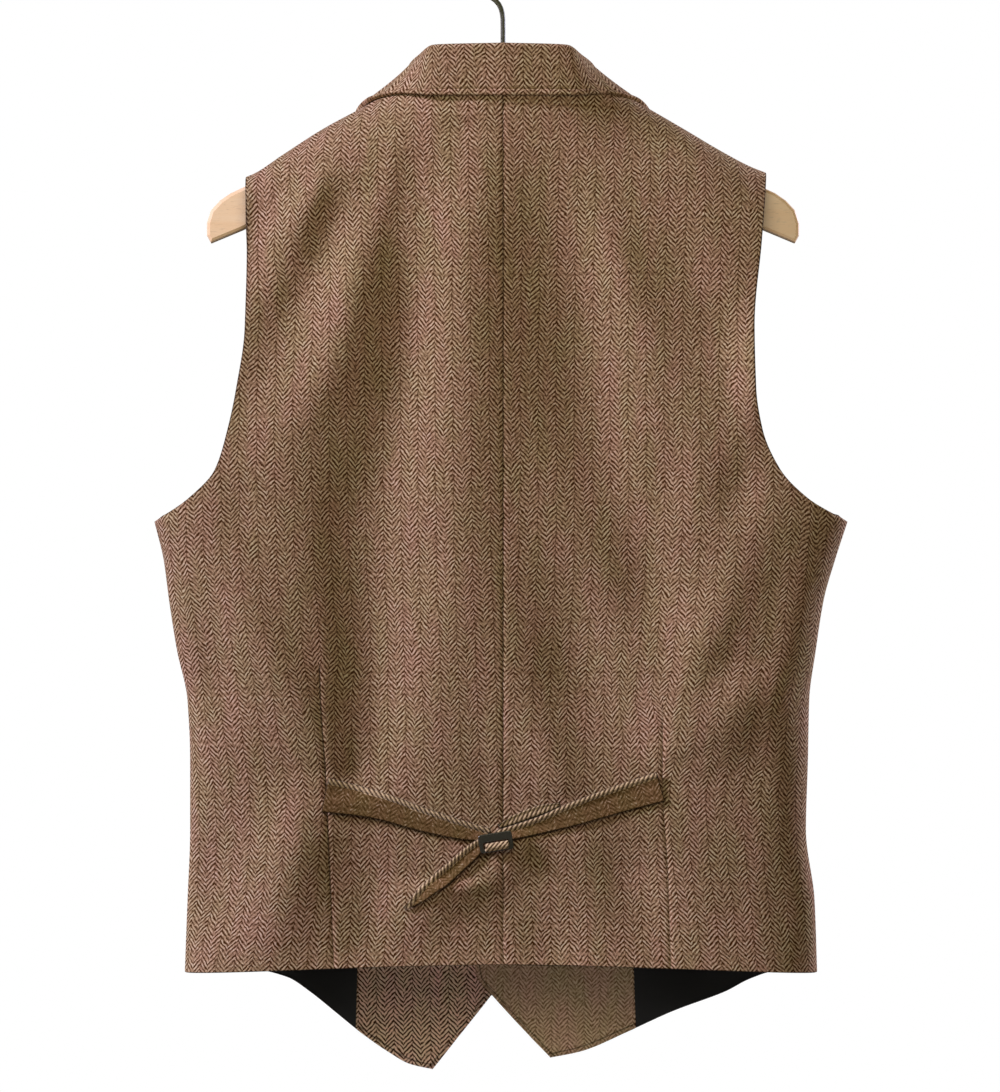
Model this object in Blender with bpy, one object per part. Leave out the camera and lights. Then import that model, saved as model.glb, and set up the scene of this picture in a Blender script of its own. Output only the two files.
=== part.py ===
"""A tweed suit waistcoat with a collar, hung on a wooden clothes hanger.

Lengths are millimetres until a point is placed. The waistcoat faces -Y, the wearer's left is +X,
"reach" is a distance out from the centre plane, "level" is a height, and the origin is the spot
inside the hook's loop where a rail carries it.
"""
import math
from collections import namedtuple

import bmesh
import bpy
from mathutils import Vector

MM = 0.001
SIGN = {"left": 1, "right": -1}

# ---- Driving dimensions -------------------------------------------------------------------
SEAM = 0.3          # gap between pieces that meet
BACK_WALL = 2.2     # tweed and its lining
FRONT_WALL = 1.6
FACING_WALL = 0.9
LAY = 1.2           # how far a piece laid on a panel stands off it
CORNER = -429       # level of the armhole's lowest corner
CROWN = 60          # height over which the cloth turns over the shoulder
FLANK = 7.5       # squareness of the body's section, 2 is an ellipse
NECK_REACH = 82
BACK_NECK = -106    # level of the neck seam at the centre back
BACK_HEM = -762.5
CENTRE_FRONT = 4    # where the button line hangs
OVERLAP_RISE, OVERLAP_REACH = 1.7, 30   # how far the buttoned fronts part, and how far out
ARMHOLE_DEEPER = 3  # the fronts' armholes are cut this much deeper than the back's

ROWS, CORNER_ROW = 27, 14
CORNER_AT = CORNER_ROW / ROWS
BACK_COLUMNS = 18
FACING_COLUMNS, LINING_COLUMNS = 5, 10
FACING_AT = FACING_COLUMNS / (FACING_COLUMNS + LINING_COLUMNS)
# The level on the row of the armhole's corner at the centre back, front edge and facing's edge.
CORNER_ROW_LEVELS = {"centre back": -405, "front edge": -440, "facing": -437}
ROUND_SIDES, ROUND_SHOULDER = 0.7, 0.85   # how far grid lines crowd towards the turned edges

# Outlines, a column for each side, read along their first column.
SIDE_SEAM = {
    "level": (-770, -715, -662, -609, -564, -526, -488, -458, -429),
    "left": (241, 239, 237, 237, 239, 247, 253, 257, 264),
    "right": (238, 236, 229.5, 231, 232, 237, 243, 251.5, 261),
}
ARMHOLE = {
    "rise": (0, 0.065, 0.15, 0.265, 0.38, 0.557, 0.787, 1),
    "left": (264, 238, 217, 207.5, 201, 194.3, 193, 195),
    "right": (261, 230.5, 208.5, 195, 190, 189, 194.5, 199.5),
}
SHOULDER = {
    "reach": (0, 82, 104, 136, 167, 187, 200),
    "left": (-53, -101.5, -114, -131.3, -151.2, -164.5, -170),
    "right": (-53, -100.5, -112.5, -131, -149.3, -159.8, -165),
}
BODY = {"level": (-429, -165), "left": (264, 232), "right": (261, 230)}
DEPTH = {"level": (-850, -640, -400, -100), "back": (29, 25, 29, 33), "front": (34, 30, 34, 36)}
FRONT_EDGE = {
    "left": {
        "level": (-847, -790, -764, -745, -398, -250, -101.5),
        "reach": (54, 8.5, -11, -14, -14, 32, NECK_REACH),
    },
    "right": {
        "level": (-838, -790, -776, -758, -398, -250, -100.5),
        "reach": (36, -8.5, -20, -22, -22, 32, NECK_REACH),
    },
}
FRONT_HEM = {
    "left": {
        "reach": (54, 71, 88, 110, 128.5, 148, 165, 188, 241),
        "level": (-847, -843, -833.5, -818, -803, -787.5, -776.5, -771, -770),
    },
    "right": {
        "reach": (36, 59, 96, 129, 170, 189, 208, 238),
        "level": (-838, -833.5, -818, -803, -787.5, -777.5, -771.5, -770),
    },
}
FACING_LINE = {
    "level": (-820, -700, -550, -440, -300, -125),
    "left": (112, 108, 98, 90, 95, 118),
    "right": (101, 97, 94, 90, 95, 118),
}

Fold = namedtuple("Fold", "name depth width peak route")

# Folds of the hanging cloth, from their upper end down: depth is out of the body, peak is the
# share of the way along at which that is reached.
BACK_FOLDS = (
    Fold("left main trough", -10.5, 25, 0.78, ((70, -109), (74, -262), (90, -407), (97, -537), (84, -660))),
    Fold("centre ridge", 10.5, 34, 0.22, ((11, -97), (28, -265), (31, -421), (34, -520), (48, -638))),
    Fold("right main trough", -10, 34, 0.55, ((-50, -147), (-57, -293), (-82, -397), (-119, -516))),
    Fold("right waist valley", -9, 32, 0.53, ((-40, -419), (-55, -532), (-78, -585), (-108, -662))),
    Fold("right shoulder ridge", 5.6, 18, 0.51, ((-62, -155), (-89, -246), (-128, -332))),
    Fold("right waist ridge", 5.1, 19, 0.58, ((-200, -406), (-166, -490), (-139, -560), (-129, -618))),
    Fold("right low waist ridge", 8.4, 31, 0.41, ((-189, -528), (-162, -597), (-135, -630))),
    Fold("left blade ridge", 10.5, 23, 0.34, ((94, -156), (120, -293), (155, -365), (180, -439))),
    Fold("left armhole trough", -4.4, 16, 0.46, ((102, -150), (135, -232), (170, -294), (192, -355))),
    Fold("left armhole ridge", 5.1, 12, 0.4, ((130, -149), (149, -200), (164, -243))),
    Fold("left shoulder tip trough", -10.5, 16, 0.44, ((164, -155), (187, -208), (196, -271))),
    Fold("left waist ridge", 6.4, 18, 0.48, ((220, -438), (185, -517), (153, -570), (133, -632))),
    Fold("left skirt ridge", 10.5, 28, 0.38, ((147, -607), (158, -684), (185, -798))),
    Fold("left corner trough", -10.5, 34, 0.66, ((239, -614), (236, -688), (237, -767))),
    Fold("left skirt trough", -2.1, 15, 0.71, ((110, -642), (100, -706), (108, -777))),
    Fold("right skirt trough", -6, 24, 0.36, ((-82, -651), (-99, -705), (-119, -777))),
    Fold("trough over the slide", -5.5, 24, 0.8, ((22, -600), (-3, -632), (-24, -672))),
    Fold("ridge right of the slide", 4.5, 18, 0.8, ((-12, -610), (-18, -654), (24, -712))),
    Fold("trough under the slide", -1.1, 15, 0.44, ((1, -680), (-2, -721), (32, -788))),
    Fold("right armpit trough", -3.8, 17, 0.49, ((-179, -367), (-178, -400), (-170, -445))),
    Fold("right blade trough", -5.9, 23, 0.58, ((-90, -405), (-107, -462), (-112, -542))),
    Fold("left collar trough", -2.2, 13, 0.53, ((42, -120), (25, -137), (2, -146))),
    Fold("right collar trough", -7, 25, 0.56, ((-63, -101), (-103, -139), (-138, -173))),
    Fold("right corner trough", -2.1, 17, 0.51, ((-208, -677), (-209, -720), (-214, -765))),
    Fold("left side trough", -5.3, 16, 0.55, ((238, -464), (221, -529), (205, -602))),
    Fold("centre skirt trough", -3.8, 22, 0.67, ((-22, -695), (-32, -735), (-43, -781))),
    Fold("left inner skirt ridge", 6.7, 22, 0.15, ((32, -695), (61, -736), (56, -759))),
    Fold("trough over the left strap", -4.3, 20, 0.85, ((124, -543), (105, -592), (114, -642))),
    Fold("left inner waist trough", -3.2, 20, 0.3, ((60, -405), (66, -520), (79, -617))),
    Fold("right shoulder hollow", -2.8, 19, 0.85, ((-124, -155), (-132, -220), (-175, -310))),
    Fold("left blade trough", -6.3, 21, 0.3, ((109, -347), (121, -450), (119, -560), (125, -636))),
    Fold("right armhole ridge", 9, 15, 0.65, ((-202, -239), (-189, -292), (-193, -378))),
    Fold("ridge over the right strap", 3.5, 15, 0.76, ((-15, -559), (-31, -600), (-51, -642))),
)
FRONT_FOLDS = (
    Fold("left chest trough", -7, 23, 0.55, ((124, -172), (112, -310), (104, -470), (112, -612))),
    Fold("left chest ridge", 5.5, 24, 0.42, ((156, -190), (150, -330), (158, -470))),
    Fold("left armhole trough", -5, 17, 0.45, ((178, -215), (176, -320), (200, -425))),
    Fold("left waist trough", -6, 19, 0.6, ((218, -462), (174, -560), (124, -642))),
    Fold("left waist ridge", 4.5, 18, 0.5, ((234, -520), (198, -600), (158, -676))),
    Fold("left skirt ridge", 6, 24, 0.45, ((102, -632), (124, -716), (138, -806))),
    Fold("left skirt trough", -4.5, 19, 0.55, ((160, -660), (176, -716), (186, -772))),
    Fold("left button ridge", 2.5, 18, 0.5, ((64, -430), (60, -560), (66, -704))),
    Fold("right chest trough", -6.5, 22, 0.5, ((-116, -176), (-126, -330), (-108, -556))),
    Fold("right chest ridge", 5, 21, 0.6, ((-158, -210), (-166, -350), (-148, -500))),
    Fold("right armhole trough", -4, 16, 0.55, ((-186, -240), (-180, -340), (-206, -428))),
    Fold("right waist trough", -6.5, 18, 0.5, ((-214, -480), (-158, -576), (-104, -648))),
    Fold("right inner ridge", 3.5, 20, 0.45, ((-72, -420), (-66, -560), (-78, -690))),
    Fold("right waist ridge", 4, 17, 0.6, ((-226, -556), (-190, -618), (-150, -668))),
    Fold("right skirt ridge", 5, 22, 0.5, ((-98, -656), (-124, -726), (-140, -802))),
    Fold("right skirt trough", -4, 18, 0.5, ((-182, -660), (-196, -714), (-200, -768))),
)

# Collar from the centre back (at 0) over the shoulder to its front end (at 1). The neck columns
# give its sewn edge, the roll columns its fold (which sits closer on the right), the edge columns
# its free edge, and facing the way that the fall lies off the stand, in degrees from +X.
COLLAR = {
    "at": (0, 0.22, 0.36, 0.46, 0.58, 0.75, 1),
    "neck_reach": (0, 45, 69, 80.5, 75.6, 68.3, 58.4),
    "neck_level": (-105.5, -103.5, -101.5, -100, -112.6, -134.6, -164.6),
    "roll_left": (0, 51.5, 62, 69.5, 71, 66, 56.5),
    "roll_right": (0, 47.5, 58, 67.5, 71, 66, 56.5),
    "roll_y": (34, 29.5, 19, 2, -25, -37.5, -43),
    "roll_level": (-70.5, -71.5, -77.5, -85.5, -107, -130, -161),
    "edge_reach": (0, 52, 81, 104, 113, 111, 98),
    "edge_y": (38, 34.5, 20.5, 2, -16.5, -34, -40),
    "edge_level": (-109.5, -109, -106.5, -110.6, -122, -144, -166),
    "facing": (90, 75, 40, 0, -35, -65, -85),
}
COLLAR_WALL = 1.8
COLLAR_ROLL = 2.4   # radius of the fold between stand and fall
STAND_PART, ROLL_PART = 0.34, 0.22
NECK_SET_IN = 0.94  # the neck seam lies this far out on the cloth's depth

LAPEL_TOP, LAPEL_BREAK, LAPEL_TUCK = -167.5, -392, -348
LAPEL_CLEAR = 4     # from the left front's edge to the right lapel that runs in under it
LAPEL_WIDTH, LAPEL_WALL, LAPEL_FALL = 56, 2.2, 0.33
ROLL_GAP, NARROW_END, LAPEL_BELLY = 0.4, 0.08, 0.9

# The cinch: centre line, width and stand-off of each band, from its outer end to the slide.
BANDS = {
    "strap_left": {
        "x": (131.5, 96, 59, 31, 10), "level": (-634, -641.5, -653, -660.5, -664.5),
        "width": (26, 21, 18, 14.5, 10), "lift": (2.1, 2.4, 1.8, 1.6, 1.4),
    },
    "strap_right": {
        "x": (-118.5, -90, -53, -28, 5), "level": (-628, -636.5, -648.5, -656.8, -665.5),
        "width": (23, 21, 18, 13, 9), "lift": (0.7, 1.2, 1.6, 1.6, 1.4),
    },
    "strap_turn": {
        "x": (-43, -26, -8, 3), "level": (-640.9, -645.3, -652.2, -657.8),
        "width": (3, 6, 5, 3), "lift": (1.5, 1.8, 2.2, 2.6),
    },
    "strap_tail": {
        "x": (16, 26, 41, 58.5, 73.5), "level": (-670.5, -679, -692.5, -706.5, -720),
        "width": (9, 12, 12.5, 11, 2.5), "lift": (3.4, 3.3, 2.8, 2, 1.2),
    },
}
BAND_WALL, BAND_CORD = 1.7, 1.1
CORD_FROM, CORD_OVER = 0.6, 0.3   # shares of a band's width where its corded edge rises
SLIDE_SPOT, SLIDE_LIFT, SLIDE_TILT = (5.3, -669.5), 6.5, 9
SLIDE_SIZE, SLIDE_SIDES, SLIDE_WALL = (25.5, 14), 3, 1.6
SLIDE_SLOT = (-1.9, 5.4)   # middle and height of the slot under its broad bar
LOOP_SPOT, LOOP_SIZE = 4.5, (15, 4.6, 1.8)

BUTTONS, BUTTON_TOP, BUTTON_STEP = 5, -405, 82
BUTTON_RADIUS, BUTTON_WALL = 9, 3.4

WOOD_WALL, WOOD_ROUND = 14, 2.5
# The upper edge of the hanger's arm, out to its round tip, and back along the lower edge.
ARM = {
    "reach": (0, 14, 45, 80, 110, 150, 190, 206, 214, 221, 224, 224, 221, 197, 120, 50, 0),
    "level": (-94, -94.5, -98, -108, -122.5, -146, -173, -180.5, -186, -193.5, -203, -212.5,
              -218, -208, -170, -137, -128),
}
HOOK_WIRE, HOOK_RADIUS = 1.9, 18
STEM_DEPTH, STEM_FIT = 18, 0.3
MOUTH_FROM, MOUTH_TO = -60, 195   # the loop's arc, in degrees
NECK_OF_HOOK = -52
NECK_PULL = 9       # how straight the wire leaves its neck and enters its loop

TWEED = (0.118, 0.068, 0.038)
TWEED_DARK = (0.075, 0.042, 0.024)
LINING = (0.008, 0.0075, 0.007)
WOOD = (0.72, 0.47, 0.26)
STEEL = (0.55, 0.55, 0.56)
BRONZE = (0.05, 0.045, 0.04)
HORN = (0.035, 0.022, 0.015)


# ---- Reading tables -----------------------------------------------------------------------
def mix(start, end, share):
    return start + (end - start) * share


def ease(share):
    share = min(1, max(0, share))
    return share * share * (3 - 2 * share)


def read(table, column, at):
    """A table's column at a place along its first one, on a curve that doesn't overshoot."""
    keys, values = next(iter(table.values())), table[column]
    if at <= keys[0]:
        return values[0]
    if at >= keys[-1]:
        return values[-1]
    k = next(index for index, key in enumerate(keys) if at < key) - 1

    def rise(index):
        return (values[index + 1] - values[index]) / (keys[index + 1] - keys[index])

    def slope(index):
        if index in (0, len(keys) - 1):
            return rise(min(index, len(keys) - 2))
        before, after = rise(index - 1), rise(index)
        return 0 if before * after <= 0 else 2 * before * after / (before + after)

    step = keys[k + 1] - keys[k]
    t = (at - keys[k]) / step
    first, second = slope(k) * step, slope(k + 1) * step
    gap = values[k + 1] - values[k]
    return values[k] + t * (first + t * (3 * gap - 2 * first - second + t * (first + second - 2 * gap)))


def spread(share, round_part):
    """Crowd the lines of a grid towards its far edge, where the cloth turns away."""
    return mix(share, math.sin(share * math.pi / 2), round_part)


# ---- The hanging cloth as a surface ----------------------------------------------------------
def fold_height(folds, x, level):
    """Height of the folds at a spot. Each swells and fades between the two ends of its route."""
    total = 0
    for fold in folds:
        reaches, levels = zip(*reversed(fold.route))
        share = (levels[-1] - level) / (levels[-1] - levels[0])
        if not 0 < share < 1:
            continue
        line = {"level": levels, "x": reaches}
        lean = (read(line, "x", level + 1) - read(line, "x", level - 1)) / 2
        away = (x - read(line, "x", level)) / fold.width / math.hypot(1, lean)
        strength = ease(share / fold.peak) if share < fold.peak else ease((1 - share) / (1 - fold.peak))
        total += fold.depth * strength * math.exp(-away ** 2)
    return total


def cloth_y(face, x, level):
    """Y of the cloth's outer face: front or back, at a spot seen square on."""
    side = "left" if x >= 0 else "right"
    reach = abs(x)
    width = read(SIDE_SEAM, side, level) if level < CORNER else read(BODY, side, level)
    flank = math.sqrt(max(0, 1 - min(1, reach / width) ** FLANK))
    drop = min(1, max(0, (read(SHOULDER, side, reach) - level) / CROWN))
    crown = math.sqrt(1 - (1 - drop) ** 2)
    folds = BACK_FOLDS if face == "back" else FRONT_FOLDS
    out = (read(DEPTH, face, level) + fold_height(folds, x, level)) * flank * crown + SEAM / 2
    return out if face == "back" else -out


def overlap(side, x):
    """The left front buttons over the right one, so near the centre they part."""
    away = (abs(x - CENTRE_FRONT) - OVERLAP_REACH) / OVERLAP_REACH
    return OVERLAP_RISE * (1 - ease(away)) * SIGN[side]


def patch(bottom, top, inner, outer, u, v):
    """A point (reach, level) in a field between four edges, each a function of its own share."""
    corners = (bottom(0), bottom(1), top(0), top(1))
    field = []
    for axis in (0, 1):
        ruled = mix(bottom(u)[axis], top(u)[axis], v) + mix(inner(v)[axis], outer(v)[axis], u)
        low = mix(corners[0][axis], corners[1][axis], u)
        high = mix(corners[2][axis], corners[3][axis], u)
        field.append(ruled - mix(low, high, v))
    return field


def climb(v, bottom, corner, top):
    """Level at a share v of the way up, passing the armhole's corner level on the same row."""
    if v < CORNER_AT:
        return mix(bottom, corner, v / CORNER_AT)
    return mix(corner, top, (v - CORNER_AT) / (1 - CORNER_AT))


def outer_edge(side, v, deeper=0):
    tip_reach = ARMHOLE[side][-1]
    level = climb(v, SIDE_SEAM["level"][0], CORNER, read(SHOULDER, side, tip_reach))
    if v <= CORNER_AT:
        return read(SIDE_SEAM, side, level), level
    rise = (v - CORNER_AT) / (1 - CORNER_AT)
    return read(ARMHOLE, side, rise) - deeper * math.sin(rise * math.pi), level


def crowd_rows(v):
    if v <= CORNER_AT:
        return v
    return mix(CORNER_AT, 1, spread((v - CORNER_AT) / (1 - CORNER_AT), ROUND_SHOULDER))


def back_spot(side, u, v):
    """X and level on one half of the back: u from the centre seam out, v from the hem up."""
    side_reach, side_hem = SIDE_SEAM[side][0], SIDE_SEAM["level"][0]
    tip_reach = ARMHOLE[side][-1]

    def hem(share):
        return share * side_reach, mix(BACK_HEM, side_hem, share ** 1.5)

    def top(share):
        reach = share * tip_reach
        if reach < NECK_REACH:
            return reach, mix(BACK_NECK, read(SHOULDER, side, NECK_REACH), (reach / NECK_REACH) ** 2)
        return reach, read(SHOULDER, side, reach)

    def centre(share):
        return 0, climb(share, BACK_HEM, CORNER_ROW_LEVELS["centre back"], BACK_NECK)

    reach, level = patch(hem, top, centre, lambda share: outer_edge(side, share), u, v)
    return reach * SIGN[side], level


def front_spot(side, u, v):
    """X and level on one front: u from its front edge out, v from its hem up."""
    edge, hem = FRONT_EDGE[side], FRONT_HEM[side]
    facing_hem = FACING_LINE[side][0]

    def front_edge(share):
        level = climb(share, edge["level"][0], CORNER_ROW_LEVELS["front edge"], edge["level"][-1])
        return read(edge, "reach", level), level

    def facing_line(share):
        low, top = read(hem, "level", facing_hem), read(SHOULDER, side, FACING_LINE[side][-1])
        level = climb(share, low, CORNER_ROW_LEVELS["facing"], top)
        return read(FACING_LINE, side, level), level

    def along_hem(start, end):
        return lambda share: (mix(start, end, share), read(hem, "level", mix(start, end, share)))

    def along_shoulder(start, end):
        return lambda share: (mix(start, end, share), read(SHOULDER, side, mix(start, end, share)))

    facing_top = facing_line(1)[0]
    if u < FACING_AT:
        reach, level = patch(along_hem(hem["reach"][0], facing_hem), along_shoulder(NECK_REACH, facing_top),
                             front_edge, facing_line, u / FACING_AT, v)
    else:
        across = spread((u - FACING_AT) / (1 - FACING_AT), ROUND_SIDES)
        reach, level = patch(along_hem(facing_hem, hem["reach"][-1]),
                             along_shoulder(facing_top, ARMHOLE[side][-1]),
                             facing_line, lambda share: outer_edge(side, share, ARMHOLE_DEEPER), across, v)
    return reach * SIGN[side], level


def back_surface(side, u, v):
    x, level = back_spot(side, spread(u, ROUND_SIDES), crowd_rows(v))
    return Vector((x + SEAM / 2 * (1 - u) * SIGN[side], cloth_y("back", x, level), level))


def front_surface(side, u, v):
    x, level = front_spot(side, u, crowd_rows(v))
    return Vector((x, cloth_y("front", x, level) - overlap(side, x), level))


def sunk(surface, turn, u, v, depth):
    """A surface's point, moved in along its normal. turn is 1 or -1, for the way u x v points."""
    step = 1e-4
    u0, v0 = min(u, 1 - step), min(v, 1 - step)
    here = surface(u0, v0)
    normal = (surface(u0 + step, v0) - here).cross(surface(u0, v0 + step) - here).normalized()
    return surface(u, v) - normal * turn * depth


# ---- Blender helpers ------------------------------------------------------------------------
def collection(name):
    group = bpy.data.collections.new(name)
    bpy.context.scene.collection.children.link(group)
    return group


def material(name, colour, roughness, metallic=0.0):
    made = bpy.data.materials.new(name)
    made.use_nodes = True
    shader = made.node_tree.nodes["Principled BSDF"]
    shader.inputs["Base Color"].default_value = (*colour, 1)
    shader.inputs["Roughness"].default_value = roughness
    shader.inputs["Metallic"].default_value = metallic
    return made


def add(name, data, finish, group):
    made = bpy.data.objects.new(name, data)
    data.materials.append(finish)
    group.objects.link(made)
    return made


def wall(name, place, columns, rows, finish, group):
    """A closed wall: a grid laid on place(u, v, 0), and extruded to place(u, v, 1)."""
    mesh = bmesh.new()
    bmesh.ops.create_grid(mesh, x_segments=columns, y_segments=rows, size=0.5)
    outer = list(mesh.verts)
    grown = bmesh.ops.extrude_face_region(mesh, geom=list(mesh.faces))["geom"]
    inner = [item for item in grown if isinstance(item, bmesh.types.BMVert)]
    for verts, side in ((outer, 0), (inner, 1)):
        for vert in verts:
            vert.co = Vector(place(vert.co.x + 0.5, vert.co.y + 0.5, side)) * MM
    bmesh.ops.recalc_face_normals(mesh, faces=mesh.faces)
    data = bpy.data.meshes.new(name)
    mesh.to_mesh(data)
    mesh.free()
    data.shade_smooth()
    data.set_sharp_from_angle(angle=math.radians(40))
    return add(name, data, finish, group)


# ---- The waistcoat ----------------------------------------------------------------------------
def make_back(side, finish, group):
    def place(u, v, inner):
        return sunk(lambda a, b: back_surface(side, a, b), -SIGN[side], u, v, inner * BACK_WALL)

    wall("back_" + side, place, BACK_COLUMNS, ROWS, finish, group)


def front_layer(name, side, span, depths, finish, group):
    """A layer of a front, between two shares of its width and two depths under its face."""
    start, end = span

    def place(u, v, inner):
        across = mix(start, end, u)
        nudge = SEAM / 130 * (1 - u) if start else 0
        return sunk(lambda a, b: front_surface(side, a, b), SIGN[side], across + nudge, v, depths[inner])

    columns = round((end - start) * (FACING_COLUMNS + LINING_COLUMNS))
    wall(f"{name}_{side}", place, columns, ROWS, finish, group)


def make_front(side, tweed, facing, lining, group):
    front_layer("front", side, (0, 1), (0, FRONT_WALL), tweed, group)
    under = FRONT_WALL + SEAM
    front_layer("facing", side, (0, FACING_AT), (under, under + FACING_WALL), facing, group)
    front_layer("lining", side, (FACING_AT, 1), (under, under + FACING_WALL), lining, group)


def collar_point(along, across, depth):
    """along runs -1 to 1 from the right end to the left, across from the neck seam to the edge."""
    at, sign = abs(along), 1 if along >= 0 else -1
    row = {column: read(COLLAR, column, at) for column in COLLAR}
    face = "back" if row["facing"] > 0 else "front"
    neck_y = cloth_y(face, row["neck_reach"] * sign, row["neck_level"]) * NECK_SET_IN
    neck = Vector((row["neck_reach"], neck_y, row["neck_level"]))
    roll = Vector((row["roll_left" if along >= 0 else "roll_right"], row["roll_y"], row["roll_level"]))
    edge = Vector((row["edge_reach"], row["edge_y"], row["edge_level"]))
    turn = math.radians(row["facing"])
    out = Vector((math.cos(turn), math.sin(turn), 0))
    rise = (roll - edge)
    rise = (rise - out * rise.dot(out)).normalized()
    radius = COLLAR_ROLL + COLLAR_WALL * (0.5 - depth)
    base = roll - rise * COLLAR_ROLL
    if across < STAND_PART:
        foot = neck - out * COLLAR_WALL * (0.5 - depth)
        point = foot.lerp(base - out * radius, across / STAND_PART)
    elif across < STAND_PART + ROLL_PART:
        angle = math.pi * (across - STAND_PART) / ROLL_PART
        point = base - out * radius * math.cos(angle) + rise * radius * math.sin(angle)
    else:
        share = (across - STAND_PART - ROLL_PART) / (1 - STAND_PART - ROLL_PART)
        hem = edge + out * COLLAR_WALL * (0.5 - depth)
        point = (base + out * radius).lerp(hem, share)
    return Vector((point.x * sign, point.y, point.z))


def make_collar(finish, group):
    wall("collar", lambda u, v, inner: collar_point(mix(-1, 1, u), v, inner), 28, 9, finish, group)


def make_lapel(side, finish, group):
    """The turned-back edge, on the front from the roll line out. The right one tucks under."""
    bottom = LAPEL_BREAK if side == "left" else LAPEL_TUCK

    def place(u, v, inner):
        level = mix(bottom, LAPEL_TOP, v)
        roll = read(FRONT_EDGE[side], "reach", level) + ROLL_GAP
        share = mix(NARROW_END, 1, (level - LAPEL_BREAK) / (LAPEL_TOP - LAPEL_BREAK))
        start, end = roll, roll + LAPEL_WIDTH * math.sin(share * math.pi / 2) ** LAPEL_BELLY
        if side == "right":
            start = max(roll, LAPEL_CLEAR - read(FRONT_EDGE["left"], "reach", level))
        reach = mix(start, end, u)
        x, level = reach * SIGN[side], level - (reach - roll) * LAPEL_FALL
        lift = LAY + LAPEL_WALL * (1 - inner)
        return x, cloth_y("front", x, level) - overlap(side, x) - lift, level

    wall("lapel_" + side, place, 4, 14, finish, group)


def band_point(band, u, v, inner):
    """A point of a strap: u along it, v across from its lower edge to its corded upper edge."""
    count = len(band["x"]) - 1
    keys = {"at": tuple(index / count for index in range(count + 1)), **band}
    x, level, width, lift = (read(keys, column, u) for column in ("x", "level", "width", "lift"))
    ahead = min(1, u + 0.01)
    along = Vector((read(keys, "x", ahead) - read(keys, "x", ahead - 0.01),
                    read(keys, "level", ahead) - read(keys, "level", ahead - 0.01))).normalized()
    upward = Vector((-along.y, along.x)) if along.x > 0 else Vector((along.y, -along.x))
    spot = Vector((x, level)) + upward * width * (v - 0.5)
    cord = BAND_CORD * ease((v - CORD_FROM) / CORD_OVER)
    out = lift + (BAND_WALL + cord) * (1 - inner)
    return spot.x, cloth_y("back", spot.x, spot.y) + out, spot.y


def make_band(name, finish, group):
    band = BANDS[name]
    wall(name, lambda u, v, inner: band_point(band, u, v, inner), 8, 4, finish, group)


def make_slide(finish, group):
    """The cinch's slide: a flat frame, broad above its slot."""
    width, height = SLIDE_SIZE
    middle, slot = SLIDE_SLOT
    outlines = [(0, width / 2, height / 2), (middle, width / 2 - SLIDE_SIDES, slot / 2)]
    shape = bpy.data.curves.new("slide", "CURVE")
    shape.dimensions = "2D"
    shape.fill_mode = "BOTH"
    shape.extrude = SLIDE_WALL / 2 * MM
    for centre, half_width, half_height in outlines:
        cut = min(half_height, 2.2) * 0.45
        corners = [(x * half_width, z * half_height, x, z) for x, z in ((1, 1), (-1, 1), (-1, -1), (1, -1))]
        spline = shape.splines.new("POLY")
        points = []
        for x, z, right, up in corners:
            ends = [(x - right * cut, z), (x, z - up * cut)]
            points += ends[::-1] if right * up > 0 else ends
        spline.points.add(len(points) - 1)
        for point, (x, z) in zip(spline.points, points):
            point.co = (x * MM, (z + centre) * MM, 0, 1)
        spline.use_cyclic_u = True
    made = add("slide", shape, finish, group)
    x, level = SLIDE_SPOT
    made.location = Vector((x, cloth_y("back", x, level) + SLIDE_LIFT, level)) * MM
    made.rotation_euler = (math.radians(90), math.radians(SLIDE_TILT), 0)


def make_loop(finish, group):
    """The strap's loop, bulging through the slide's slot."""
    width, height, rise = LOOP_SIZE
    centre, level = SLIDE_SPOT
    plane = cloth_y("back", centre, level) + SLIDE_LIFT

    def place(u, v, inner):
        x = LOOP_SPOT + (u - 0.5) * width
        bulge = math.sin(v * math.pi) * rise
        middle = level + SLIDE_SLOT[0] - (x - centre) * math.tan(math.radians(SLIDE_TILT))
        return x, plane - BAND_WALL / 2 + (BAND_WALL + bulge) * (1 - inner), middle + (v - 0.5) * height

    wall("strap_loop", place, 3, 4, finish, group)


def make_button(index, finish, group):
    """A dished button with a round rim, its profile turned about Y."""
    profile = ((0, 0.62), (0.62, 0.62), (0.84, 1), (1, 0.7), (0.9, 0), (0, 0))
    steps = 12
    mesh = bmesh.new()
    level = BUTTON_TOP - BUTTON_STEP * index
    face = cloth_y("front", CENTRE_FRONT, level) - overlap("left", CENTRE_FRONT) - SEAM
    line = [mesh.verts.new((r * BUTTON_RADIUS * MM, -h * BUTTON_WALL * MM, 0)) for r, h in profile]
    edges = [mesh.edges.new(pair) for pair in zip(line, line[1:])]
    bmesh.ops.spin(mesh, geom=line + edges, cent=(0, 0, 0), axis=(0, 1, 0), angle=math.tau, steps=steps,
                   use_merge=True)
    bmesh.ops.remove_doubles(mesh, verts=mesh.verts, dist=1e-6)
    bmesh.ops.recalc_face_normals(mesh, faces=mesh.faces)
    data = bpy.data.meshes.new(f"button_{index + 1}")
    mesh.to_mesh(data)
    mesh.free()
    data.shade_smooth()
    data.set_sharp_from_angle(angle=math.radians(35))
    made = add(f"button_{index + 1}", data, finish, group)
    made.location = Vector((CENTRE_FRONT, face, level)) * MM


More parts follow.
